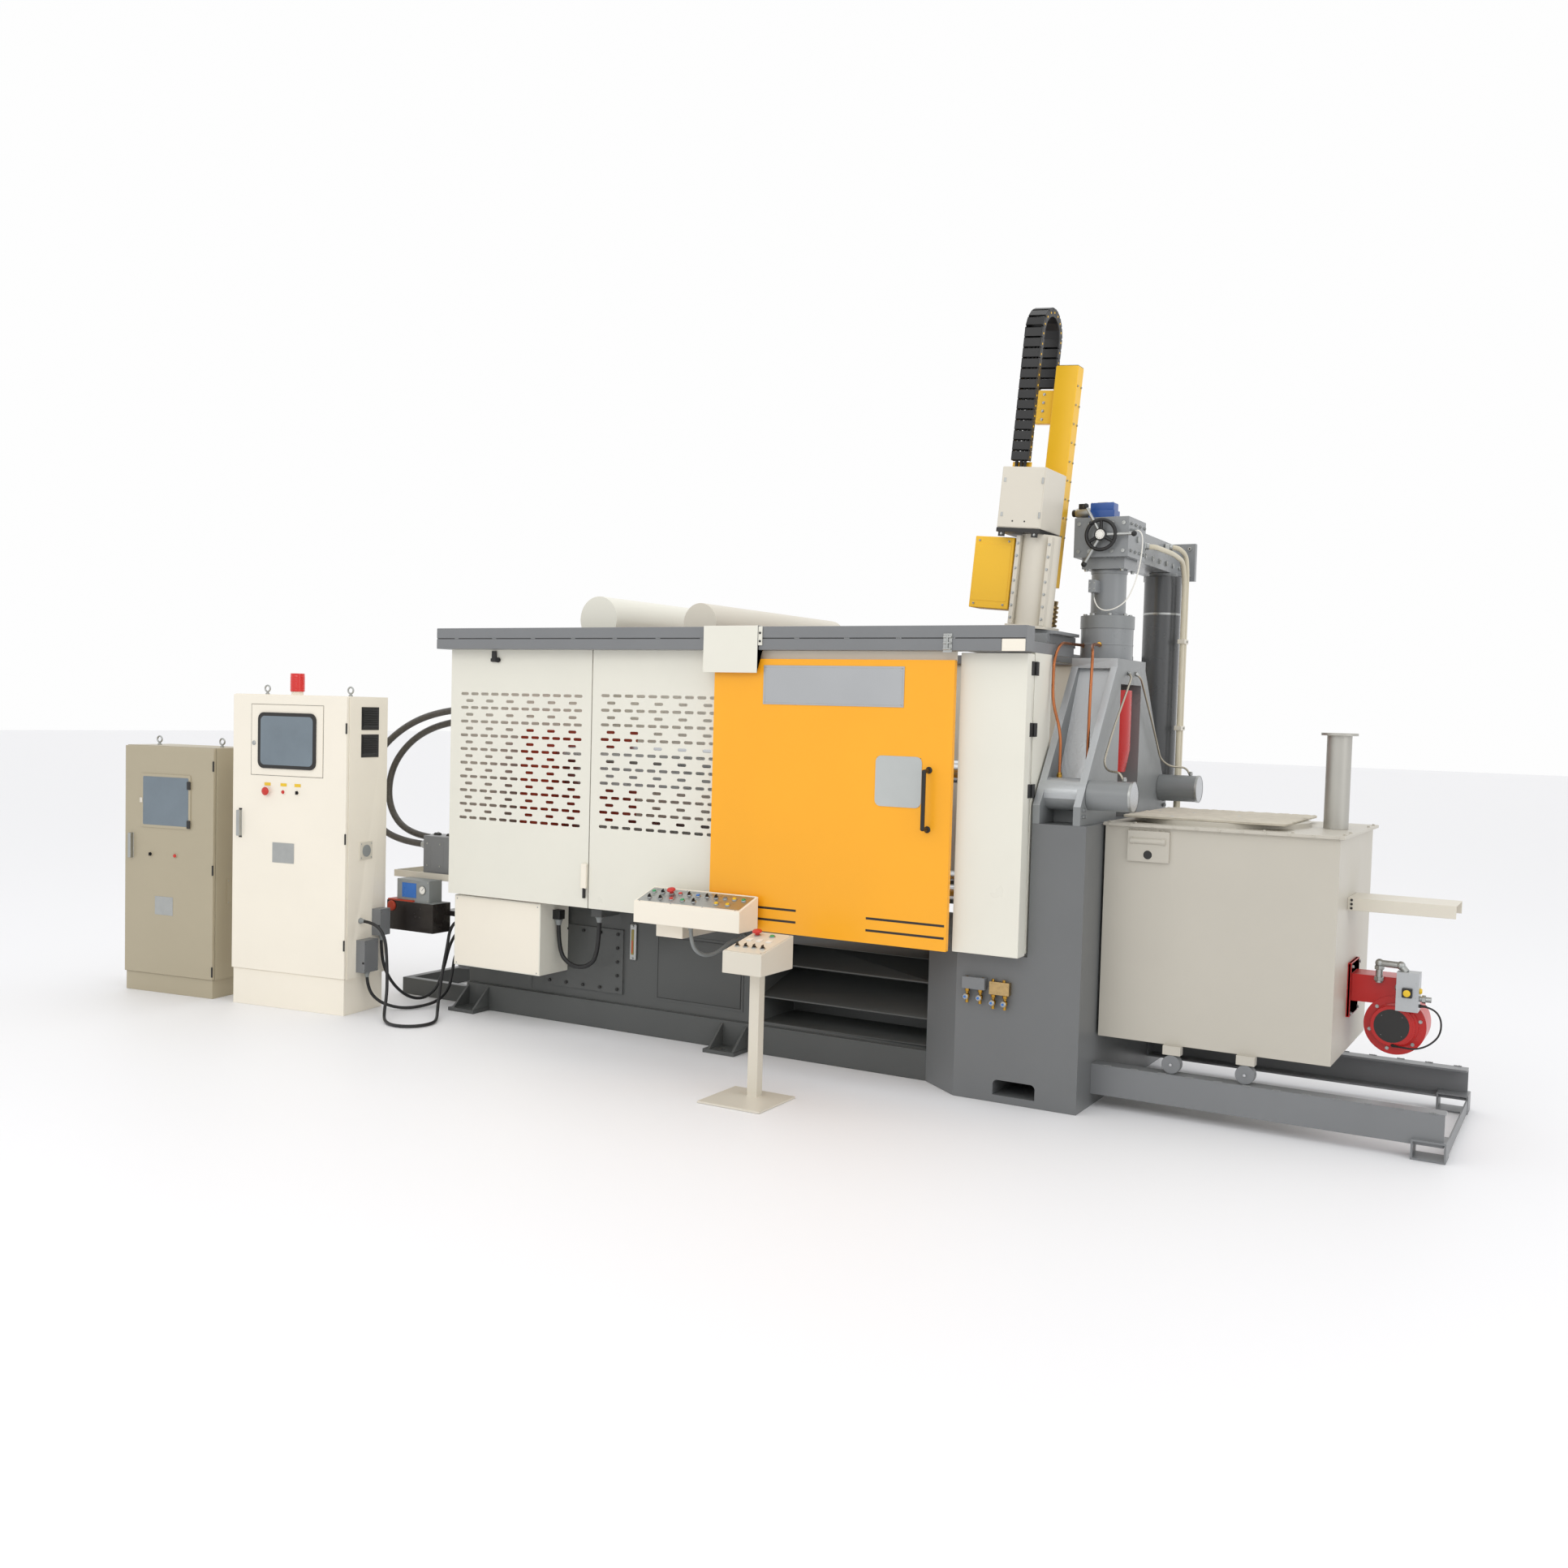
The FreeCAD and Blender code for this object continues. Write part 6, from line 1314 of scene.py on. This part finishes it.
for turn in range(16):
    angle = math.radians(22.5 * turn)
    spoke = Matrix.Translation((1.542, 0, 0.470)) @ Matrix.Rotation(angle, 4, "Y")
    block(fan, (0.067, 0.082, -0.002), (0.0718, 0.178, 0.002), 0.001, 3, spoke)
show("burner_fan", fan, [red_coat, zinc, black_coat, rail_enamel], "furnace")
gas = bmesh.new()
block(gas, (1.551, -0.179, 0.600), (1.641, -0.100, 0.690), 0.008, 0)
bar(gas, (1.596, -0.140, 0.552), (1.596, -0.140, 0.604), 0.024, 0.003, 0, 32)
turned(gas, [(0, 0), (0.034, 0), (0.036, 0.004), (0.036, 0.020), (0.030, 0.029), (0, 0.030)],
       (1.596, -0.140, 0.690), (1.596, -0.140, 9), 1, 40)
turned(gas, [(0, 0), (0.014, 0), (0.014, 0.006), (0.010, 0.012), (0, 0.012)], (1.640, -0.140, 0.640),
       (9, -0.140, 0.640), 2, 6)
turned(gas, [(0, 0), (0.030, 0), (0.030, 0.010), (0.024, 0.014), (0, 0.014)], (1.596, -0.140, 0.551),
       (1.596, -0.140, 9), 0, 6)
turned(gas, [(0, 0), (0.016, 0), (0.016, 0.006), (0.011, 0.010), (0, 0.010)], (1.5515, -0.140, 0.645),
       (0, -0.140, 0.645), 0, 6)
for x in (1.562, 1.630):
    for z in (0.612, 0.678):
        socket_screw(gas, (x, -0.1785, z), (0, -1, 0), 0.0015, 0, 1)
for low_end, high_end in (((1.470, -0.112, 0.655), (1.470, -0.112, 0.742)),
                          ((1.470, -0.112, 0.742), (1.560, -0.130, 0.742)),
                          ((1.560, -0.130, 0.742), (1.585, -0.136, 0.716))):
    bar(gas, low_end, high_end, 0.015, 0.001, 0, 24)
for place in ((1.470, -0.112, 0.742), (1.560, -0.130, 0.742)):
    ball = bmesh.new()
    bmesh.ops.create_uvsphere(ball, u_segments=24, v_segments=14, radius=0.019)
    lay(gas, ball, Matrix.Translation(place), 0)
for z in (0.672, 0.722):
    bar(gas, (1.470, -0.112, z - 0.008), (1.470, -0.112, z + 0.008), 0.022, 0.002, 0, 6)
bar(gas, (1.642, -0.140, 0.606), (1.690, -0.140, 0.606), 0.012, 0.001, 0, 20)
bar(gas, (1.652, -0.140, 0.606), (1.668, -0.140, 0.606), 0.018, 0.002, 0, 6)
block(gas, (1.575, -0.196, 0.612), (1.617, -0.1785, 0.654), 0.004, 1)
turned(gas, [(0, 0), (0.015, 0), (0.015, 0.004), (0.010, 0.006), (0, 0.006)], (1.596, -0.196, 0.633),
       (1.596, -1, 0.633), 2, 24)
show("gas_valve", gas, [zinc, black_plastic, cap_looks["yellow"]], "furnace")
dress("burner", [red_coat, silver_cast_and_highlight, rail_enamel], 0.003, "furnace",
      choose=lambda middle, facing: 1 if middle.x > 1.548 and middle.y < -0.10 and middle.z > 0.548
      else 2 if middle.y > 0.0705 else 0)
print("furnace done")

# %% [markdown]
# ## Control cabinets
# Folded sheet cases on plinths. The tall one carries a small glazed door for its screen and a beacon;
# the small one has a window, a key switch and a lamp. Both stand a few degrees off the machine's line.

# %% frames of the two cabinets
turn = Matrix.Rotation(math.radians(7.35), 4, "Z")
small_frame = Matrix.Translation((-5.453, -1.352, 0)) @ turn
tall_frame = Matrix.Translation((-4.624, -1.252, 0)) @ turn
small_back, tall_back = small_frame.inverted(), tall_frame.inverted()
dress("small_cabinet_body", [beige_coat], 0.003)
dress("small_cabinet_door", [beige_coat, zinc], 0.004, "small_door",
      choose=lambda middle, facing: int((small_back @ middle).y < -0.0015))
dress("tall_cabinet_body", [cream_coat, rail_enamel, lens_red], 0.003, choose=lambda middle, facing: int(
    (tall_back @ middle).x > 0.8175) if middle.z < 1.8205 else 2)
dress("tall_cabinet_door", [cream_coat, zinc], 0.004, "tall_door",
      choose=lambda middle, facing: int((tall_back @ middle).y < -0.0015))


def rounded_plate(mesh, low, high, front, thick, radius, paint):
    """A plate with rounded corners, standing on a door's front."""
    shape = bmesh.new()
    middle = ((low[0] + high[0]) / 2, front + thick / 2, (low[1] + high[1]) / 2)
    spread = Matrix.Diagonal((high[0] - low[0], thick, high[1] - low[1], 1))
    bmesh.ops.create_cube(shape, size=1, matrix=Matrix.Translation(middle) @ spread)
    corners = [edge for edge in shape.edges if abs(edge.verts[0].co.y - edge.verts[1].co.y) > thick / 2]
    bmesh.ops.bevel(shape, geom=corners, offset=radius, affect="EDGES", segments=6, profile=0.5,
                    material=-1)
    lay(mesh, shape, None, paint)


# %% [markdown]
# Plates lie on the door in steps: the small door stands 3 mm proud, its black frame 10 mm, and the
# glass a little more. Without the steps they would share one plane and flicker.

# %% tall cabinet's door furniture
tall = bmesh.new()
looks = [cream_coat, cap_looks["green"], cap_looks["red"], cap_looks["black"], black_coat, screen_glass,
         cap_looks["yellow"], zinc, light_coat]
face = -0.0004
strips(tall, (0.137, 0.653, 1.336, 1.744), 0.002, face - 0.0002, 0.002, 0, 4)
block(tall, (0.141, face - 0.0030, 1.340), (0.649, 0.002, 1.740), 0.0015, 0)
rounded_plate(tall, (0.193, 1.378), (0.605, 1.697), face - 0.0100, 0.0075, 0.040, 4)
rounded_plate(tall, (0.213, 1.398), (0.585, 1.677), face - 0.0108, 0.0010, 0.028, 5)
turned(tall, [(0, 0), (0.013, 0), (0.013, 0.003), (0.009, 0.006), (0, 0.006)], (0.160, face - 0.003, 1.520),
       (0.160, -1, 1.520), 7, 24)
key(tall, (0.258, face, 1.247), (0, -1, 0), 2, 0.016, "mushroom")
key(tall, (0.374, face, 1.246), (0, -1, 0), 2, 0.014)
key(tall, (0.474, face, 1.246), (0, -1, 0), 3, 0.014, "selector")
for x in (0.258, 0.374, 0.474):
    block(tall, (x - 0.022, face - 0.0012, 1.278), (x + 0.022, face, 1.296), 0.0004, 6)
block(tall, (0.298, face - 0.0015, 0.840), (0.453, face, 0.955), 0.0005, 7)
for z in (0.40, 1.00, 1.62):
    bar(tall, (0.812, -0.0015, z - 0.030), (0.812, -0.0015, z + 0.030), 0.005, 0.001, 4, 16)
block(tall, (0.050, -0.0012, 0.970), (0.074, 0.0005, 1.140), 0.001, 4)
show("tall_door_furniture", tall, looks, "tall_door", where=tall_frame)

# %% [markdown]
# The vents are tilted blades over a dark back, so they catch light as louvres do. The beacon's lens
# is one outline with a groove between each pair of ribs.

# %% grilles, sockets, eyes and beacon of the tall cabinet
sides = bmesh.new()
edge = 0.816


def grille(mesh, low, high, x, paint, dark):
    """A louvred vent on a cabinet's right-hand side."""
    block(mesh, (x - 0.001, low[0], low[1]), (x + 0.003, high[0], high[1]), 0.001, paint)
    block(mesh, (x + 0.001, low[0] + 0.012, low[1] + 0.012), (x + 0.0035, high[0] - 0.012, high[1] - 0.012),
          0, dark)
    count = 8
    for index in range(count):
        z = low[1] + 0.014 + (index + 0.5) * (high[1] - low[1] - 0.028) / count
        tilt = Matrix.Translation((x + 0.004, 0, z)) @ Matrix.Rotation(math.radians(32), 4, "Y")
        block(mesh, (-0.0012, low[0] + 0.010, -0.0065), (0.0012, high[0] - 0.010, 0.0065), 0.0008, paint,
              tilt)


grille(sides, (0.122, 1.612), (0.274, 1.742), edge, 1, 1)
grille(sides, (0.122, 1.457), (0.274, 1.587), edge, 1, 1)
block(sides, (edge - 0.001, 0.116, 0.874), (edge + 0.006, 0.227, 0.977), 0.003, 0)
turned(sides, [(0, 0), (0.030, 0), (0.034, 0.002), (0.034, 0.006), (0, 0.007)],
       (edge + 0.005, 0.171, 0.925), (9, 0.171, 0.925), 2, 32)
for y, z in ((0.128, 0.886), (0.215, 0.886), (0.128, 0.965), (0.215, 0.965)):
    rivet(sides, (edge + 0.006, y, z), (1, 0, 0), 3)
for low_y, high_y, low_z, high_z in ((0.100, 0.220, 0.236, 0.420), (0.236, 0.326, 0.432, 0.585)):
    for y in (low_y + 0.010, high_y - 0.010):
        for z in (low_z + 0.012, high_z - 0.012):
            bar(sides, (0.8755, y, z), (0.8765, y, z), 0.005, paint=3, sides=12)
    block(sides, (0.860, low_y - 0.0004, low_z + 0.05), (0.874, high_y + 0.0004, low_z + 0.062), 0, 1)
show("tall_cabinet_side", sides, [light_coat, black_plastic, grey_plastic, zinc], where=tall_frame)
eyes = bmesh.new()
for x in (0.10, 0.70):
    lifting_eye(eyes, x, 0.17, 1.800)
show("lifting_eyes", eyes, [zinc], where=tall_frame)
beacon = bmesh.new()
turned(beacon, [(0, 0), (0.0338, 0), (0.0338, 0.019), (0.030, 0.021), (0, 0.021)], (0.302, 0.190, 1.799),
       (0.302, 0.190, 9), 0, 40)
lens = [(0, 0), (0.0404, 0)]
for index in range(8):
    z = 0.006 + index * 0.010
    lens += [(0.0404, z), (0.0416, z + 0.004), (0.0404, z + 0.008)]
lens += [(0.0404, 0.092), (0.036, 0.1052), (0, 0.1056)]
turned(beacon, lens, (0.302, 0.190, 1.820), (0.302, 0.190, 9), 1, 40)
show("beacon", beacon, [cream_coat, lens_red], where=tall_frame)

# %% [markdown]
# The small cabinet repeats these parts in a simpler form, with a hinged window on two black hinges.

# %% small cabinet
small = bmesh.new()
looks = [beige_coat, cap_looks["green"], cap_looks["red"], cap_looks["black"], black_coat, screen_glass,
         light_coat, zinc]
rounded_plate(small, (0.134, 0.990), (0.517, 1.310), -0.0050, 0.0050, 0.010, 0)
rounded_plate(small, (0.150, 1.006), (0.501, 1.294), -0.0058, 0.0010, 0.008, 5)
for z in (1.25, 1.02):
    block(small, (0.494, -0.0125, z - 0.024), (0.520, -0.0050, z + 0.024), 0.003, 4)
block(small, (0.126, -0.010, 1.135), (0.146, 0.0, 1.165), 0.003, 6)
key(small, (0.210, 0.0, 0.830), (0, -1, 0), 3, 0.014, "selector")
key(small, (0.400, 0.0, 0.830), (0, -1, 0), 2, 0.014)
block(small, (0.243, -0.0015, 0.470), (0.383, 0.0, 0.580), 0.0005, 7)
for z in (1.37, 0.76, 0.16):
    bar(small, (0.686, -0.0015, z - 0.030), (0.686, -0.0015, z + 0.030), 0.005, 0.001, 4, 16)
show("small_door_furniture", small, looks, "small_door", where=small_frame)
flank = bmesh.new()
block(flank, (0.689, 0.110, 0.550), (0.693, 0.250, 0.700), 0.001, 0)
for y in (0.120, 0.240):
    for z in (0.560, 0.690):
        rivet(flank, (0.693, y, z), (1, 0, 0), 1)
show("small_cabinet_gland_plate", flank, [beige_coat, zinc], where=small_frame)
print("cabinets done")

small_eyes = bmesh.new()
for x in (0.10, 0.59):
    lifting_eye(small_eyes, x, 0.17, 1.477)
show("small_lifting_eyes", small_eyes, [zinc], where=small_frame)

# %% [markdown]
# ## Left end
# The lubrication pump has a smoked tank under a grey head; the valve stack sits on the tray.

# %% tray, valves, pump and motor
dress("end_tray", [light_coat, rail_enamel], 0.003, choose=lambda middle, facing: int(middle.z > 0.7755))
stack = bmesh.new()
for index in range(3):
    x = -3.760 + index * 0.100
    block(stack, (x - 0.028, -0.5605, 0.800), (x + 0.028, -0.558, 0.960), 0.001, 0)
    for z in (0.815, 0.945):
        bar(stack, (x, -0.5605, z), (x, -0.5625, z), 0.006, paint=1, sides=6)
    bar(stack, (x - 0.020, -0.475, 0.9895), (x + 0.020, -0.475, 0.9895), 0.014, 0.002, 2, 24)
show("valve_stack_covers", stack, [rail_enamel, zinc, black_coat])
dress("lube_pump", [tank_plastic, grey_plastic, orange_coat], 0.008, choose=lambda middle, facing: int(
    middle.z > 0.6165), steps=3)
pump = bmesh.new()
block(pump, (-3.800, -0.7225, 0.640), (-3.690, -0.7195, 0.725), 0.001, 0)
turned(pump, [(0, 0), (0.024, 0), (0.026, 0.003), (0.026, 0.006), (0.022, 0.006), (0.022, 0.004),
              (0, 0.004)],
       (-3.640, -0.720, 0.690), (-3.640, -1, 0.690), 1, 36)
turned(pump, [(0, 0.0041), (0.0215, 0.0041), (0.0215, 0.0046), (0, 0.0046)], (-3.640, -0.720, 0.690),
       (-3.640, -1, 0.690), 2, 36)
needle = Matrix.Translation((-3.640, -0.7252, 0.690)) @ Matrix.Rotation(math.radians(40), 4, "Y")
block(pump, (-0.001, -0.0004, -0.004), (0.001, 0.0004, 0.018), 0, 3, needle)
turned(pump, [(0, 0), (0.030, 0), (0.030, 0.014), (0.026, 0.018), (0, 0.018)], (-3.860, -0.735, 0.585),
       (-3.860, -0.7395, 0.585), 4, 32)
block(pump, (-3.898, -0.7385, 0.606), (-3.700, -0.600, 0.626), 0.004, 4)
for x in (-3.830, -3.600):
    for z in (0.628, 0.735):
        bar(pump, (x, -0.7195, z), (x, -0.7215, z), 0.005, paint=5, sides=12)
show("pump_panel", pump, [cap_looks["blue"], zinc, gauge_white, cap_looks["black"], orange_coat, zinc])
dress("motor", [rail_enamel, light_coat], 0.004, choose=lambda middle, facing: int(middle.z > 0.4))
fins = bmesh.new()
for index in range(24):
    angle = math.radians(15 * index)
    around = Matrix.Translation((-3.620, -0.330, 0)) @ Matrix.Rotation(angle, 4, "Z")
    block(fins, (0.060, -0.002, 0.225), (0.0698, 0.002, 0.375), 0.001, 0, around)
show("motor_fins", fins, [rail_enamel])

# %% [markdown]
# ## Pipes, hoses and cables
# Copper and steel lines are bent by hand between fittings. The free hoses and cables hang under their
# own weight, and each ends in a ferrule or a gland with a tapered relief.
#
# All pipes are one node of the model, so each face takes its metal from where it lies.

# %% rigid pipes take their metal from where they run


def pipe_metal(middle, facing):
    """Cream on the two large pipes, copper or steel on the small ones."""
    if middle.x > 0.28 and (middle.y > 0.60 or middle.z > 2.58):
        return 2
    if middle.y > 0.10:
        return 1 if middle.z < 2.2 else 2
    if middle.x > 0.235 or (middle.x > 0.22 and middle.z > 1.95):
        return 1
    return 0


dress("pipework", [copper, steel_tube, cream_tube], 0.0008, choose=pipe_metal, steps=1)
fittings = bmesh.new()
for place, facing, size, look in (
        ((0.120, -0.560, 1.511), (0, 0, 1), 0.013, 0), ((0.205, -0.380, 1.540), (0, -1, 0.3), 0.013, 0),
        ((0.055, -0.070, 2.142), (0, -1, 0), 0.013, 0), ((0.145, -0.110, 2.142), (0, -1, 0.2), 0.013, 0),
        ((0.270, -0.060, 2.015), (0.8, -0.6, -0.8), 0.010, 1),
        ((0.428, -0.570, 1.508), (0, 0, 1), 0.010, 1),
        ((0.270, 0.060, 2.015), (0.8, 0.6, -0.8), 0.010, 1), ((0.428, 0.570, 1.508), (0, 0, 1), 0.010, 1),
        ((0.250, 0.140, 2.640), (1, 0.3, 0), 0.020, 1), ((0.250, 0.560, 2.680), (1, 0.2, 0), 0.020, 1),
        ((0.335, 0.650, 1.250), (0, 0, 1), 0.021, 1), ((0.335, 0.690, 1.250), (0, 0, 1), 0.021, 1)):
    place, facing = Vector(place), Vector(facing).normalized()
    bar(fittings, place + facing * 0.001, place + facing * size * 1.3, size, size * 0.12, look, 6)
    bar(fittings, place + facing * size * 1.3, place + facing * size * 2.0, size * 0.82, size * 0.1, look,
        20)
for z in (2.20, 1.75):
    block(fittings, (0.316, 0.626, z - 0.012), (0.354, 0.7035, z + 0.012), 0.003, 2)
    bolt(fittings, (0.354, 0.670, z), (1, 0, 0), 0.006, 1)
show("pipe_fittings", fittings, [brass, zinc, light_coat])

# %% [markdown]
# A cable that leaves a case bends less at its end, so each end has a gland with a tapered sleeve.

# %% cable ends: ferrules on the hoses, glands and tapered reliefs on the cables


def sleeve(name, start, inward, radius, look, body="machine", reach=0.045, taper=0.62, nut=True):
    """A tapered relief that stands at a cord's end and thins towards the cord."""
    start, inward = Vector(start), Vector(inward).normalized()
    mesh = bmesh.new()
    tip = radius * 1.12
    wide = radius * 1.75
    outline = [(0, 0), (wide, 0), (wide, reach * 0.30), (wide * 0.86, reach * 0.36),
               (tip + (wide - tip) * taper, reach * 0.42)]
    for step in range(1, 6):
        z = reach * (0.42 + 0.58 * step / 5)
        outline.append((tip + (wide - tip) * taper * (1 - step / 5), z))
    outline.append((0, reach))
    turned(mesh, outline, start, start + inward, 0, 28)
    if nut:
        bar(mesh, start + inward * 0.001, start + inward * reach * 0.2, wide * 1.12, wide * 0.06, 0, 6)
    return show(name, mesh, [look], body)


cord_looks = {"upper_hose": braid, "lower_hose": braid, "box_conduit": black_plastic,
              "desk_conduit": grey_plastic,
              "front_cable": black_plastic, "middle_cable": black_plastic, "back_cable": black_plastic,
              "burner_lead": black_plastic, "sensor_lead": white_plastic}
for (line, facts, ends), node in zip(cord_facts, list(cords)):
    line.data.materials.clear()
    line.data.materials.append(cord_looks[node])
    path = [Vector(point.co[:3]) for point in line.data.splines[0].points]
    radius = facts["diameter"] / 2
    metal = zinc if "hose" in node else grey_plastic if node != "burner_lead" else black_plastic
    body = "furnace" if node == "burner_lead" else "machine"
    first = sleeve(f"{node}_relief_a", path[0], path[1] - path[0], radius, metal, body,
                   0.060 if "hose" in node else 0.032)
    last = sleeve(f"{node}_relief_b", path[-1], path[-2] - path[-1], radius, metal, body,
                  0.060 if "hose" in node else 0.032)
